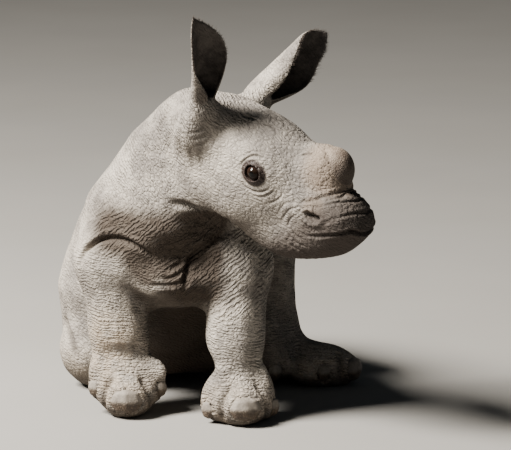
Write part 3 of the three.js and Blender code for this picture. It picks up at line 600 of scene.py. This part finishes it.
kept = np.ones(len(co))
for side in (1, -1):
    local, out_from_gap = eye_measure(co, side)
    kept[(out_from_gap < 1.7) & (local[:, 1] > -0.01)] = 0
weigh(hide, "thinned", kept)
modify(hide, "TRIANGULATE", quad_method="SHORTEST_DIAGONAL")
share = MOST_TRIANGLES / len(hide.data.polygons)
modify(hide, "DECIMATE", ratio=share, vertex_group="thinned", vertex_group_factor=0)
hide.vertex_groups.clear()
# Pinched slivers in the beds of the toenails are merged away, so that the hide is one clean surface.
SLIVER = 0.00012
bpy.ops.object.mode_set(mode="EDIT")
bpy.ops.mesh.select_mode(type="VERT")
bpy.ops.mesh.select_all(action="SELECT")
bpy.ops.mesh.remove_doubles(threshold=SLIVER)
bpy.ops.mesh.dissolve_degenerate(threshold=SLIVER)
bpy.ops.mesh.select_all(action="DESELECT")
bpy.ops.mesh.select_non_manifold()
bpy.ops.mesh.delete(type="VERT")
bpy.ops.mesh.select_all(action="SELECT")
bpy.ops.mesh.fill_holes(sides=0)
bpy.ops.mesh.quads_convert_to_tris()
bpy.ops.mesh.normals_make_consistent(inside=False)
bpy.ops.object.mode_set(mode="OBJECT")

# What the hide's colour and grain depend on, measured on the finished surface. A pair of limits is where a
# zone starts to change and where it has changed.
MUZZLE_STARTS = (0.25, 0.295)  # forward from the poll
CHIN_STARTS, CHIN_BELOW = (0.235, 0.3), (0.082, 0.104)  # forward and down from the poll
LIP_EDGE, LIP_REACH = 0.008, 0.036  # away from the line of the mouth
BUD_SKIN_AT, BUD_SKIN = (0.238, 0.0, 0.024), (0.046, 0.045, 0.048)  # the tan skin round the bud
NOSTRIL_SKIN = (0.014, 0.026)  # away from the nostril
CUP_STARTS, CUP_ENDS = 0.12, 1.1  # shares of the ear's length
CUP_REACH = 0.012  # how near the ear's leaf its skin is
CUP_MIDDLE = 0.012  # how far ahead of the ear's own line the middle of its cup is
LID_EDGE = (1.5, 1.78)  # away from the eye, where 1 is the edge of the gap between the lids
KNEE_AT, KNEE_SIZE = (-0.037, 0.008, 0.093), (0.06, 0.08, 0.06)  # the dusty knee, from its middle toe
DUSTY_BELOW = (0.01, 0.1)  # up from the floor
DARKEST_FOLD = 0.003  # depth at which a fold is as dark as it gets
co = coordinates(hide.data)
out = normals(hide.data)


def paint(piece, name, values):
    """Gives a piece an attribute with a value for each of its corners."""
    piece.data.attributes.new(name, "FLOAT", "POINT").data.foreach_set("value", np.asarray(values, float))


# Painted shade and dirt along the folds: the hide darkens near a fold's line, more for deeper folds.
fold_shade_and_dirt_line = np.zeros(len(co))
for depth, width, _, line in folds:
    near, gap, along = beside(co, line, 3 * width)
    strength = min(1, depth / DARKEST_FOLD) * fade_out(along) * np.exp(-((gap / width) ** 2))
    fold_shade_and_dirt_line[near] = np.maximum(fold_shade_and_dirt_line[near], strength)
paint(hide, "fold", fold_shade_and_dirt_line)

head = in_head(co)
face = headness(co)
muzzle = face * rise(head[:, 0] - 0.35 * head[:, 2], *MUZZLE_STARTS)
chin = face * rise(head[:, 0], *CHIN_STARTS) * rise(-head[:, 2], *CHIN_BELOW)
near, gap, _ = beside(co, mouth_line, LIP_REACH)
lips = np.zeros(len(co))
lips[near] = 1 - rise(gap, LIP_EDGE, LIP_REACH)
paint(hide, "muzzle", np.maximum(muzzle, np.maximum(0.8 * lips * face, 0.75 * chin)))
around_bud = np.linalg.norm((head - BUD_SKIN_AT) / BUD_SKIN, axis=1)
around_nostril = np.hypot(head[:, 0] - NOSTRIL_AT[0] / 1000, head[:, 2] - NOSTRIL_AT[1] / 1000 - 0.006)
tan_skin = np.maximum(1 - rise(around_bud, 0.95, 1.45), 0.7 * (1 - rise(around_nostril, *NOSTRIL_SKIN)))
paint(hide, "bud", face * tan_skin)

cup = np.zeros(len(co))
for spec, leaf in zip(EARS.values(), leaves):
    along, opening, _ = ear_directions(spec)
    rooted = co - ear_root(spec)
    height = rooted @ along / EAR_LENGTH
    in_reach = np.linalg.norm(rooted, axis=1) < 0.22
    for index in np.flatnonzero((height > CUP_STARTS) & (height < CUP_ENDS) & in_reach):
        place = leaf.find_nearest(co[index], CUP_REACH)[0]
        if place is None:
            continue
        # The leaf's faces may face either way, so hide is inside the cup if it faces the cup's middle line.
        cup_middle = ear_root(spec) + along * height[index] * EAR_LENGTH + opening * CUP_MIDDLE
        cup[index] = (place - Vector(cup_middle)).dot(Vector(out[index])) < 0
paint(hide, "cup", cup)

lids = np.zeros(len(co))
for side in (1, -1):
    local, out_from_gap = eye_measure(co, side)
    lids = np.maximum(lids, (1 - rise(out_from_gap, *LID_EDGE)) * (local[:, 1] > -0.02))
paint(hide, "lid", lids)

# Each part of the body has its own kind of skin, and the kinds fade into one another.
foreleg_right = leg_zone(co, right_toe, -0.1, 0.285)
low_left = leg_zone(co, left_toe, -0.1, 0.185)
upper_left = leg_zone(co, left_toe, 0.185, 0.34)
chest = within(co, between_toes + (-0.155, -0.08, 0.17), between_toes + (0.075, 0.21, 0.33))
hind = within(co, *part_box("hindleg_left"))
rings = np.clip(foreleg_right + low_left + hind, 0, 1)
rising = np.clip(np.maximum(upper_left, chest) - 0.8 * foreleg_right, 0, 1) * (1 - face)
neck = (1 - face) * rise(co[:, 2], 0.3, 0.36) * (1 - rise(co[:, 1], 0.0, 0.2)) * (1 - rising)
pebbles = np.clip(1 - rings - rising - neck, 0, 1)
whole = rings + rising + neck + pebbles
for name, weight in (("rings", rings), ("rising", rising), ("falling", neck), ("pebbles", pebbles)):
    paint(hide, name, weight / whole)

knee = np.exp(-(np.linalg.norm((co - right_toe - KNEE_AT) / KNEE_SIZE, axis=1) ** 2))
low_down = 1 - rise(co[:, 2], *DUSTY_BELOW)
paint(hide, "dust", np.clip(knee + 0.55 * low_down, 0, 1))
# Painted shade: the hide is painted darker the more it faces down.
paint(hide, "under", rise(-out[:, 2], -0.1, 0.8))
# Painted shade, partly mud: the broad hollows of the chest and throat, the low chest and the belly between
# the legs are painted dark.
hollow_shade = np.zeros(len(co))
for depth, spot, reach in HOLLOWS[:3]:
    hollow_shade = np.maximum(hollow_shade, 1 - rise(np.linalg.norm((co - spot) / reach, axis=1), 0.5, 1.25))
belly = within(co, between_toes + (-0.075, 0.11, -0.13), between_toes + (0.145, 0.53, 0.21), 0.04)
low_chest = chest * (1 - foreleg_right) * (1 - rise(co[:, 0] - left_toe[0], -0.07, -0.01))
paint(hide, "hollow_shade", np.clip((hollow_shade + 1.4 * low_chest) * (1 - face) + belly, 0, 1))


class Sum:
    """One output of a shader node, which combines with numbers and other outputs as in plain arithmetic."""

    def __init__(self, tree, socket=None):
        self.tree = tree
        self.socket = socket

    def make(self, kind, inputs=(), output=0, **settings):
        """Any other node: its settings first, then the values or links of its inputs, by name or number."""
        node = self.tree.nodes.new("ShaderNode" + kind)
        for key, value in settings.items():
            setattr(node, key, value)
        for key, value in dict(inputs).items():
            if isinstance(value, Sum):
                self.tree.links.new(value.socket, node.inputs[key])
            else:
                node.inputs[key].default_value = value
        return Sum(self.tree, node.outputs[output])

    def math(self, operation, *values):
        return self.make("Math", enumerate(values), operation=operation)

    def __add__(self, other):
        return self.math("ADD", self, other)

    def __mul__(self, other):
        return self.math("MULTIPLY", self, other)

    def __sub__(self, other):
        return self.math("SUBTRACT", self, other)

    def __rsub__(self, other):
        return self.math("SUBTRACT", other, self)

    __radd__ = __add__
    __rmul__ = __mul__

    def at_most(self, limit):
        return self.math("MINIMUM", self, limit)

    def step(self, start, end):
        """0 before start and 1 after end, smooth between them."""
        inputs = {"Value": self, "From Min": start, "From Max": end}
        return self.make("MapRange", inputs, interpolation_type="SMOOTHSTEP")

    def tint(self, one, other, blend="MIX"):
        """A colour that is one where this is 0, and other where this is 1."""
        return self.make("Mix", {0: self, 6: one, 7: other}, 2, data_type="RGBA", blend_type=blend)


def new_material(name, roughness=0.8, specular=0.3):
    """A material with its shader and the starting point for the sums on its tree."""
    material = bpy.data.materials.new(name)
    material.use_nodes = True
    shader = material.node_tree.nodes["Principled BSDF"]
    shader.inputs["Roughness"].default_value = roughness
    shader.inputs["Specular IOR Level"].default_value = specular
    return material, shader, Sum(material.node_tree)


def feed(start, shader, **sums):
    for name, value in sums.items():
        start.tree.links.new(value.socket, shader.inputs[name.replace("_", " ")])


def attribute(start, name):
    return start.make("Attribute", output=2, attribute_name=name)


PALE = (0.39, 0.352, 0.305, 1)
ASH = (0.19, 0.172, 0.155, 1)
DUST = (0.30, 0.215, 0.135, 1)
# A dark brown for painted shade under the body and in its hollows, partly mud.
SHADE_AND_MUD = (0.040, 0.029, 0.021, 1)
# A near-black for painted shade in creases, furrows, cracks and pits; along the folds it is partly dirt.
CREASE_SHADE_AND_DIRT = (0.022, 0.016, 0.012, 1)
SNOUT = (0.034, 0.026, 0.022, 1)
TAN = (0.20, 0.155, 0.12, 1)
# Inside the ears: partly their own dark skin, partly painted shade.
CUP_DARK, CUP_PALE = (0.034, 0.029, 0.026, 1), (0.10, 0.086, 0.076, 1)  # inside the ears
RIM = (0.020, 0.012, 0.010, 1)
MOTTLE = 9.0  # of the broad pale and grey patches, per metre
GRIT = 420.0
WANDER, WANDER_SCALE = 0.013, 26.0  # how far wrinkles wander, and the scale of the noise that moves them
# For each kind of skin: the tilt of its wrinkles in degrees, their pitch and depth, and the size and depth
# of the pads between them.
SKINS = {
    "rings": (6, 0.0058, 0.0013, 0.0048, 0.00085),
    "rising": (-40, 0.0072, 0.0021, 0.0058, 0.00120),
    "falling": (54, 0.0054, 0.0010, 0.0052, 0.00095),
    "pebbles": (30, 0.0070, 0.0004, 0.0058, 0.00070),
}
WRINKLE_LENGTH = 3.0  # in pitches
PAD_LENGTH = 1.7  # in sizes of a pad
CRAZING = 0.0032  # size of the finest cracks' cells
BAND = 0.314  # scale of a wave texture whose bands are one unit apart

hide_material, shader, start = new_material("rhino_hide", roughness=0.85, specular=0.22)
place = start.make("TexCoord", output=3)
drift = start.make("TexNoise", {"Vector": place, "Scale": WANDER_SCALE, "Detail": 2}, output=1)
centred = start.make("VectorMath", {0: drift, 1: (0.5, 0.5, 0.5)}, operation="SUBTRACT")
shifted = start.make("VectorMath", {0: centred, 1: (WANDER,) * 3}, operation="MULTIPLY")
wandering = start.make("VectorMath", {0: place, 1: shifted}, operation="ADD")
swells = start.make("TexNoise", {"Vector": place, "Scale": 55.0, "Detail": 2})
breaks = start.make("TexNoise", {"Vector": place, "Scale": 70.0, "Detail": 3, "Roughness": 0.6})
broken = breaks.step(0.36, 0.6)
relief, furrow_shade = 0.0, 0.0
for name, (tilt, pitch, depth, pad, pad_depth) in SKINS.items():
    turn = (0, math.radians(tilt), 0)
    cells = (WRINKLE_LENGTH * pitch, WRINKLE_LENGTH * pitch, pitch)
    turned = start.make(
        "Mapping", {"Vector": wandering, "Rotation": turn, "Scale": cells}, vector_type="TEXTURE"
    )
    bands = start.make(
        "TexWave",
        {"Vector": turned, "Scale": BAND, "Distortion": 9.0, "Detail": 3.0, "Detail Scale": 1.6},
        output=1,
        bands_direction="Z",
    )
    cells = (PAD_LENGTH * pad, PAD_LENGTH * pad, pad)
    flattened = start.make(
        "Mapping", {"Vector": wandering, "Rotation": turn, "Scale": cells}, vector_type="TEXTURE"
    )
    edge = start.make("TexVoronoi", {"Vector": flattened, "Scale": 1.0}, feature="DISTANCE_TO_EDGE")
    weight = attribute(start, name)
    ridges = bands * (0.2 + 0.8 * broken) * depth
    relief = weight * (ridges + edge.step(0.0, 0.35) * pad_depth) + relief
    # Painted shade in the furrows between the wrinkles and round the edges of the pads.
    lines = (1 - bands.step(0.0, 0.5)) * min(1.0, depth / 0.001) * (0.2 + 0.8 * broken)
    furrow_shade = weight * (lines * 0.4 + (1 - edge.step(0.0, 0.16)) * 0.5) + furrow_shade
crazing = start.make("TexVoronoi", {"Vector": wandering, "Scale": 1 / CRAZING}, feature="DISTANCE_TO_EDGE")
grit = start.make("TexNoise", {"Vector": place, "Scale": GRIT, "Detail": 3, "Roughness": 0.6})
mottle = start.make("TexNoise", {"Vector": place, "Scale": MOTTLE, "Detail": 5, "Roughness": 0.6})
patches = start.make("TexNoise", {"Vector": place, "Scale": 32.0, "Detail": 4, "Roughness": 0.65})
cup_inside, muzzle_skin, lid_skin = (attribute(start, name) for name in ("cup", "muzzle", "lid"))
fold_shade_and_dirt, dusty, underside_shade = (attribute(start, name) for name in ("fold", "dust", "under"))

broad = (mottle * 0.6 + patches * 0.4).step(0.38, 0.62)
colour = broad.tint(ASH, PALE)
colour = (dusty * patches.step(0.3, 0.62) * 0.75).tint(colour, DUST)
# Painted shade on the undersides, in a dark brown that is partly mud.
colour = (underside_shade * 0.8).tint(colour, SHADE_AND_MUD)
# Painted shade in the chest hollows, on the low chest and on the belly, partly mud.
colour = (attribute(start, "hollow_shade") * 0.92).tint(colour, SHADE_AND_MUD)
strength = swells.step(0.35, 0.65) * 0.55 + 0.25
# The furrows' painted shade, weaker in the ear cups.
shaded_furrows = furrow_shade * strength * (1 - 0.6 * cup_inside)
colour = shaded_furrows.at_most(0.7).tint(colour, CREASE_SHADE_AND_DIRT)
# Painted shade in the fine cracks.
colour = ((1 - crazing.step(0.0, 0.12)) * 0.16).tint(colour, CREASE_SHADE_AND_DIRT)
colour = (attribute(start, "bud") * 0.85).tint(colour, TAN)
colour = (muzzle_skin * (patches * 0.5 + 0.62)).at_most(1.0).tint(colour, SNOUT)
# Painted shade and dirt along the folds.
colour = (fold_shade_and_dirt * 0.8).tint(colour, CREASE_SHADE_AND_DIRT)
colour = (lid_skin * 0.97).tint(colour, RIM)
# Inside each ear's cup the hide is dark: partly its own dark skin, partly painted shade.
colour = cup_inside.tint(colour, patches.step(0.3, 0.7).tint(CUP_DARK, CUP_PALE))
height = relief * 1.5 * (1 - 0.7 * cup_inside) + crazing.step(0.0, 0.3) * 0.00022
height = height + grit * 0.00022 + swells * 0.0022
bump = start.make("Bump", {"Height": height, "Distance": 1.0, "Strength": 1.0})
rough = 0.78 + 0.14 * grit
feed(start, shader, Base_Color=colour, Roughness=rough - lid_skin * 0.35, Normal=bump)
hide.data.materials.clear()
hide.data.materials.append(hide_material)


def shade(piece):
    """Smooths the shading of one piece."""
    bpy.ops.object.select_all(action="DESELECT")
    piece.select_set(True)
    bpy.context.view_layer.objects.active = piece
    bpy.ops.object.shade_smooth()


shade(hide)
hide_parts(*FLESH, "ear_left", "ear_right")
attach(hide, "root")


# ---------------------------------------------------------------- eyes
# Small dark brown eyes with a round pupil, wet, set deep between thick lids. Only the front third of the
# ball shows. Each is a ball with a slight bulge for the cornea.
PUPIL, IRIS = 0.0040, 0.0095  # half widths, from the line of sight
CORNEA, CORNEA_TOP = 0.0007, 0.003  # how far the cornea stands proud, and half the width of its top
LOOKS_AHEAD = 0.12  # how far forward the eyes look, for each metre to the side
EYE_PLAY = 0.0002  # by how much the ball is smaller than its solid
eye_material, shader, start = new_material("eye_wet", roughness=0.1, specular=0.12)
shader.inputs["Coat Weight"].default_value = 0.05
shader.inputs["Coat Roughness"].default_value = 0.03
from_sight = attribute(start, "from_sight")
place = start.make("TexCoord", output=3)
streaks = start.make("TexNoise", {"Vector": place, "Scale": 900.0, "Detail": 2})
browner = streaks * 0.5 + from_sight.step(PUPIL, IRIS) * 0.5
iris = browner.tint((0.006, 0.004, 0.003, 1), (0.016, 0.009, 0.006, 1))
ball = from_sight.step(IRIS, IRIS + 0.0015).tint(iris, (0.018, 0.010, 0.008, 1))
seen = (1 - from_sight.step(PUPIL - 0.0006, PUPIL + 0.0006)).tint(ball, (0.002, 0.002, 0.002, 1))
feed(start, shader, Base_Color=seen)
for name, eye, side in zip(("eye_left", "eye_right"), eyes, (1, -1)):
    bpy.ops.object.select_all(action="DESELECT")
    bpy.ops.mesh.primitive_uv_sphere_add(segments=64, ring_count=40, radius=EYE_RADIUS - EYE_PLAY)
    ball = bpy.context.object
    ball.name = name + "_ball"
    sight = unit(HEAD_LEFT * side + LOOKS_AHEAD * HEAD_FORWARD)
    shape = coordinates(ball.data)
    ahead = shape[:, 2] / EYE_RADIUS
    aside = np.hypot(shape[:, 0], shape[:, 1])
    shape *= 1 + (CORNEA / EYE_RADIUS * (1 - rise(aside, CORNEA_TOP, IRIS)) * (ahead > 0))[:, None]
    left = unit(np.cross(HEAD_UP, sight))
    up = unit(np.cross(sight, np.cross(HEAD_UP, sight)))
    set_coordinates(ball.data, shape @ np.array([left, up, sight]) + eye)
    paint(ball, "from_sight", np.where(shape[:, 2] > 0, aside, 0.02))
    ball.data.materials.append(eye_material)
    bpy.ops.object.shade_smooth()
    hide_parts(name)
    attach(ball, "root")


# ---------------------------------------------------------------- horn bud
# The first dome of the front horn: matted fibres under a smooth worn skin, tan at the sides and darker in
# front. The hide climbs round its sides.

bpy.ops.object.select_all(action="DESELECT")
bpy.ops.mesh.primitive_uv_sphere_add(segments=96, ring_count=64, radius=1)
bud = bpy.context.object
bud.name = "horn_bud_dome"
set_coordinates(bud.data, BUD_MIDDLE + (coordinates(bud.data) * BUD_SIZE) @ HEAD_AXES)
work_on_all(bpy.ops.mesh.normals_make_consistent, inside=False)
bpy.ops.object.shade_smooth()
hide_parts("horn_bud")
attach(bud, "root")
ahead = in_head(coordinates(bud.data))
paint(bud, "front", rise(ahead[:, 0] + 0.1 * ahead[:, 2], 0.218, 0.272))
horn_material, shader, start = new_material("horn_bud", roughness=0.7, specular=0.3)
place = start.make("TexCoord", output=3)
patches = start.make("TexNoise", {"Vector": place, "Scale": 45.0, "Detail": 5, "Roughness": 0.65})
grain = start.make("TexNoise", {"Vector": place, "Scale": 700.0, "Detail": 3})
pits = start.make("TexVoronoi", {"Vector": place, "Scale": 240.0}, feature="DISTANCE_TO_EDGE")
tan = patches.step(0.35, 0.65).tint((0.15, 0.112, 0.085, 1), (0.25, 0.20, 0.158, 1))
dark = patches.step(0.35, 0.65).tint((0.035, 0.027, 0.023, 1), (0.075, 0.058, 0.047, 1))
colour = (attribute(start, "front") * (0.6 + 0.6 * patches)).tint(tan, dark)
# Painted shade in the pits of the bud.
colour = ((1 - pits.step(0.0, 0.1)) * 0.3).tint(colour, CREASE_SHADE_AND_DIRT)
height = pits.step(0.0, 0.25) * 0.0004 + grain * 0.0003 + patches * 0.003
bump = start.make("Bump", {"Height": height, "Distance": 1.0, "Strength": 1.0})
feed(start, shader, Base_Color=colour, Normal=bump, Roughness=0.6 + 0.25 * grain)
bud.data.materials.append(horn_material)


# ---------------------------------------------------------------- toenails
# Three on each foot, broad and blunt, of pale horn that turns darker brown towards the sole. Each is
# cast finer from its solid, rounded off, and stands in a bed in the hide.
NAIL_VOXEL, NAIL_ROUNDS, NAIL_SWELL = 0.0012, 40, 0.0004
NAIL_DARKER_LOW = (0.35, 0.62)  # shares of its height: darker brown below the first, pale horn above the second
nail_material, shader, start = new_material("toenail", roughness=0.6, specular=0.35)
place = start.make("TexCoord", output=3)
patches = start.make("TexNoise", {"Vector": place, "Scale": 60.0, "Detail": 5, "Roughness": 0.65})
ridges = start.make("TexNoise", {"Vector": place, "Scale": 350.0, "Detail": 3})
pits = start.make("TexVoronoi", {"Vector": place, "Scale": 190.0}, feature="DISTANCE_TO_EDGE")
darker_low = attribute(start, "darker_low")
horn_pale = patches.step(0.3, 0.7).tint((0.14, 0.12, 0.10, 1), (0.25, 0.222, 0.19, 1))
low_brown = patches.step(0.3, 0.7).tint((0.05, 0.035, 0.025, 1), (0.11, 0.08, 0.055, 1))
colour = darker_low.tint(horn_pale, low_brown)
# Painted shade in the pits of the nail's lower part.
colour = ((1 - pits.step(0.0, 0.12)) * darker_low * 0.5).tint(colour, CREASE_SHADE_AND_DIRT)
height = ridges * 0.0003 + pits.step(0.0, 0.3) * darker_low * 0.0008 + patches * 0.0015
bump = start.make("Bump", {"Height": height, "Distance": 1.0, "Strength": 1.0})
feed(start, shader, Base_Color=colour, Normal=bump, Roughness=0.5 + 0.3 * patches)


def cast_nail(node, name):
    """A finer piece of a nail's solid, rounded off."""
    bpy.ops.object.select_all(action="DESELECT")
    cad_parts[node].select_set(True)
    bpy.context.view_layer.objects.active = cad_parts[node]
    bpy.ops.object.duplicate()
    piece = bpy.context.object
    piece.name = name
    piece.data.materials.clear()
    work_on_all(bpy.ops.mesh.remove_doubles, threshold=SAME_PLACE)
    modify(piece, "REMESH", mode="VOXEL", voxel_size=NAIL_VOXEL)
    modify(piece, "SMOOTH", factor=EASE, iterations=NAIL_ROUNDS)
    modify(piece, "DISPLACE", mid_level=0, strength=NAIL_SWELL)
    bpy.ops.object.shade_smooth()
    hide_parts(node)
    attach(piece, "root")
    return piece


for name in NAILS:
    nail = cast_nail(name, name.replace("_nail", "_toenail"))
    shape = coordinates(nail.data)
    low, high = shape[:, 2].min(), shape[:, 2].max()
    height = (shape[:, 2] - low) / (high - low)
    paint(nail, "darker_low", 1 - rise(height, *NAIL_DARKER_LOW))
    nail.data.materials.append(nail_material)


# ---------------------------------------------------------------- bristles
# A calf's only hair that shows: stiff dark bristles in a fringe along the rims of its ears, short lashes on
# its upper lids and a small tuft at the end of its tail. Each is a thin spike that bends over a little.
dice = np.random.default_rng(7)
bristle_material, shader, start = new_material("bristle", roughness=0.55, specular=0.35)
along = attribute(start, "tip")
colour = along.tint((0.022, 0.016, 0.012, 1), (0.06, 0.045, 0.035, 1))
feed(start, shader, Base_Color=colour)
PATCH = 0.003  # share of the OFBake map's side that one bristle takes
bpy.ops.object.select_all(action="DESELECT")
bpy.ops.mesh.primitive_cone_add(vertices=4, radius1=1, radius2=0, depth=1, location=(0, 0, 0.5))
spike = bpy.context.object
bpy.ops.object.transform_apply(location=True)
bpy.ops.object.mode_set(mode="EDIT")
for height in (0.35, 0.7):
    bpy.ops.mesh.select_all(action="SELECT")
    bpy.ops.mesh.bisect(plane_co=(0, 0, height), plane_no=(0, 0, 1))
bpy.ops.object.mode_set(mode="OBJECT")
SPIKE = coordinates(spike.data)
SPIKE_FACES = [list(face.vertices) for face in spike.data.polygons]
bpy.data.objects.remove(spike)


def plant(name, roots, ways, bends, lengths, widths, places):
    """One mesh of bristles from their roots. Their places are where each is put on the OFBake map."""
    count = len(roots)
    ways = ways / np.linalg.norm(ways, axis=1)[:, None]
    side = np.cross(ways, bends + (0.001, 0.002, 0.003))
    side /= np.linalg.norm(side, axis=1)[:, None]
    other = np.cross(ways, side)
    up = SPIKE[None, :, 2, None]
    long = lengths[:, None, None]
    shape = roots[:, None] + up * long * ways[:, None] + (up**2 * long) * bends[:, None]
    across = SPIKE[None, :, :1] * side[:, None] + SPIKE[None, :, 1:2] * other[:, None]
    shape = shape + widths[:, None, None] * across
    faces = [[v + m * len(SPIKE) for v in face] for m in range(count) for face in SPIKE_FACES]
    mesh = bpy.data.meshes.new(name)
    mesh.from_pydata(shape.reshape(-1, 3).tolist(), [], faces)
    piece = bpy.data.objects.new(name, mesh)
    bpy.context.scene.collection.objects.link(piece)
    owner = np.empty(len(mesh.loops), int)
    mesh.loops.foreach_get("vertex_index", owner)
    spot = places[owner // len(SPIKE)]
    within_patch = (SPIKE[owner % len(SPIKE)][:, [0, 2]] * (0.25, 0.5) + (0.5, 0.25)) * PATCH
    mesh.uv_layers.new(name="OFBake").data.foreach_set("uv", (spot + within_patch).ravel())
    paint(piece, "tip", np.tile(SPIKE[:, 2], count))
    mesh.materials.append(bristle_material)
    shade(piece)
    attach(piece, "root")


RIM_BRISTLES = 520
INNER_SHARE, RIMS_SHARE = 0.42, 0.84  # of them on the inner rim, and on both rims; the rest are on the tip
LOWEST, CROWDING = 0.42, 0.8  # heights up the rims are numbers from the first up to 1, to this power
BRISTLE_WIDTH, LASH_WIDTH, TUFT_WIDTH = 0.00028, 0.00022, 0.0003  # half widths at the root
for name, spec in EARS.items():
    along, opening, _ = ear_directions(spec)
    walk = dice.uniform(0, 1, RIM_BRISTLES)
    tipward = dice.uniform(LOWEST, 1, RIM_BRISTLES) ** CROWDING
    over_tip = dice.uniform(0, 1, RIM_BRISTLES)
    across = np.where(walk < INNER_SHARE, 0.0, np.where(walk < RIMS_SHARE, 1.0, over_tip))
    height = np.where(walk < RIMS_SHARE, tipward, 1.0)
    across = np.clip(across + np.where(across < 0.5, 1, -1) * dice.uniform(0, 0.03, RIM_BRISTLES), 0, 1)
    roots = on_ear(spec, across, height)
    inner = on_ear(spec, np.clip(across + np.where(across < 0.5, 0.1, -0.1), 0, 1), height * 0.97)
    ways = roots - inner
    ways /= np.linalg.norm(ways, axis=1)[:, None]
    ways += 0.45 * along + 0.3 * opening + dice.normal(0, 0.28, (RIM_BRISTLES, 3))
    lengths = dice.uniform(0.0035, 0.0085, RIM_BRISTLES)
    places = np.stack([0.02 + 0.4 * across, 0.02 + 0.9 * height], axis=1)
    plant(
        "bristles_ear_" + name, roots - 0.001 * ways, ways, dice.normal(0, 0.25, (RIM_BRISTLES, 3)),
        lengths, np.full(RIM_BRISTLES, BRISTLE_WIDTH), places,
    )

LASHES = 34
LASH_EDGE = 1.04  # how far out they stand, where 1 is the edge of the gap between the lids
LASH_SUNK = 0.0012  # how far their roots are under the lids' dome
for name, eye, side in zip(("left", "right"), eyes, (1, -1)):
    turn = np.radians(np.linspace(20, 165, LASHES)) + dice.normal(0, 0.02, LASHES)
    edge_forward = EYE_OPENING[0] * LASH_EDGE * np.cos(turn)
    edge_up = EYE_OPENING[1] * LASH_EDGE * np.sin(turn)
    edge_aside = LID_TOP - LID_FALL * (edge_forward**2 + edge_up**2) - LASH_SUNK
    roots = eye + np.stack([edge_forward, edge_aside * side, edge_up], axis=1) @ HEAD_AXES
    fan = np.stack([0.5 * np.cos(turn), np.full(LASHES, 0.9 * side), 0.25 + 0.3 * np.sin(turn)], axis=1)
    ways = fan @ HEAD_AXES + dice.normal(0, 0.08, (LASHES, 3))
    droop = np.tile(-0.35 * HEAD_UP, (LASHES, 1))
    lengths = dice.uniform(0.004, 0.0065, LASHES)
    places = np.stack([0.1 + 0.01 * np.cos(turn), 0.1 + 0.01 * np.sin(turn)], axis=1)
    plant("lashes_" + name, roots, ways, droop, lengths, np.full(LASHES, LASH_WIDTH), places)

TUFT = 90
tail_low, tail_high = (np.array(corner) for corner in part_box("tail"))
in_line = np.abs(co[:, 0] - (tail_low[0] + tail_high[0]) / 2) < 0.03
at_end = (co[:, 1] > tail_high[1] - 0.05) & (co[:, 2] < tail_low[2] + 0.035)
tail_co = co[in_line & at_end]
chosen = dice.choice(len(tail_co), TUFT)
roots = tail_co[chosen]
tail_middle = tail_co.mean(0)
ways = unit(np.array([0.0, -0.35, -1.0])) + 0.18 * (roots - tail_middle) / 0.012
ways = ways + dice.normal(0, 0.12, (TUFT, 3))
room = np.maximum(roots[:, 2], 0.004)  # over the floor
lengths = np.minimum(dice.uniform(0.012, 0.022, TUFT), 0.8 * room)
around = np.arctan2(roots[:, 0] - tail_middle[0], roots[:, 1] - tail_middle[1])
places = np.stack([0.5 + 0.02 * around, 0.5 + roots[:, 2]], axis=1)
bends = dice.normal(0, 0.1, (TUFT, 3))
plant("bristles_tail", roots, ways, bends, lengths, np.full(TUFT, TUFT_WIDTH), places)


# ---------------------------------------------------------------- camera, light and floor
# A plain warm grey studio floor, a strong warm key lamp from the upper left and a weak, cool fill from the
# right. The camera stands 8 m away and looks down on the calf at 11 degrees.
CAMERA_TARGET = Vector((0.076, -0.104, 0.325))
CAMERA_DISTANCE = 8.0
CAMERA_RISE = math.radians(11)
PICTURE_WIDTH = 0.889  # at the target
SENSOR = 36.0  # mm
FLOOR_SIZE = 60
SKY_STRENGTH = 0.04
camera_data = bpy.data.cameras.new("camera")
camera_data.sensor_width = SENSOR
camera_data.lens = SENSOR * CAMERA_DISTANCE / PICTURE_WIDTH
camera = bpy.data.objects.new("camera", camera_data)
bpy.context.scene.collection.objects.link(camera)
away = Vector((0, -math.cos(CAMERA_RISE), math.sin(CAMERA_RISE)))
camera.location = CAMERA_TARGET + CAMERA_DISTANCE * away
camera.rotation_euler = (math.radians(90) - CAMERA_RISE, 0, 0)
bpy.context.scene.camera = camera

bpy.ops.object.select_all(action="DESELECT")
bpy.ops.mesh.primitive_plane_add(size=FLOOR_SIZE, location=(0, 0, 0))
floor = bpy.context.object
floor.name = "floor"
floor_material, shader, start = new_material("floor", roughness=0.9)
place = start.make("TexCoord", output=3)
cloudy = start.make("TexNoise", {"Vector": place, "Scale": 3.0, "Detail": 2})
feed(start, shader, Base_Color=cloudy.tint((0.225, 0.217, 0.204, 1), (0.25, 0.242, 0.228, 1)))
floor.data.materials.append(floor_material)

world = bpy.data.worlds.new("studio")
bpy.context.scene.world = world
world.use_nodes = True
world.node_tree.nodes["Background"].inputs["Color"].default_value = (0.80, 0.90, 1, 1)
world.node_tree.nodes["Background"].inputs["Strength"].default_value = SKY_STRENGTH


LAMP_TARGET = Vector((0, 0, 0.3))


def hang_lamp(name, place, size, power, colour):
    """A square lamp of this size and power in watts, turned to the middle of the calf."""
    data = bpy.data.lights.new(name, "AREA")
    data.size = size
    data.energy = power
    data.color = colour
    lamp = bpy.data.objects.new(name, data)
    lamp.location = place
    lamp.rotation_euler = (LAMP_TARGET - Vector(place)).to_track_quat("-Z", "Y").to_euler()
    bpy.context.scene.collection.objects.link(lamp)


hang_lamp("key", (-2.7, -0.95, 3.4), 1.5, 1150, (1, 0.95, 0.87))
hang_lamp("fill", (2.6, -2.4, 1.6), 2.5, 2.5, (0.75, 0.87, 1))
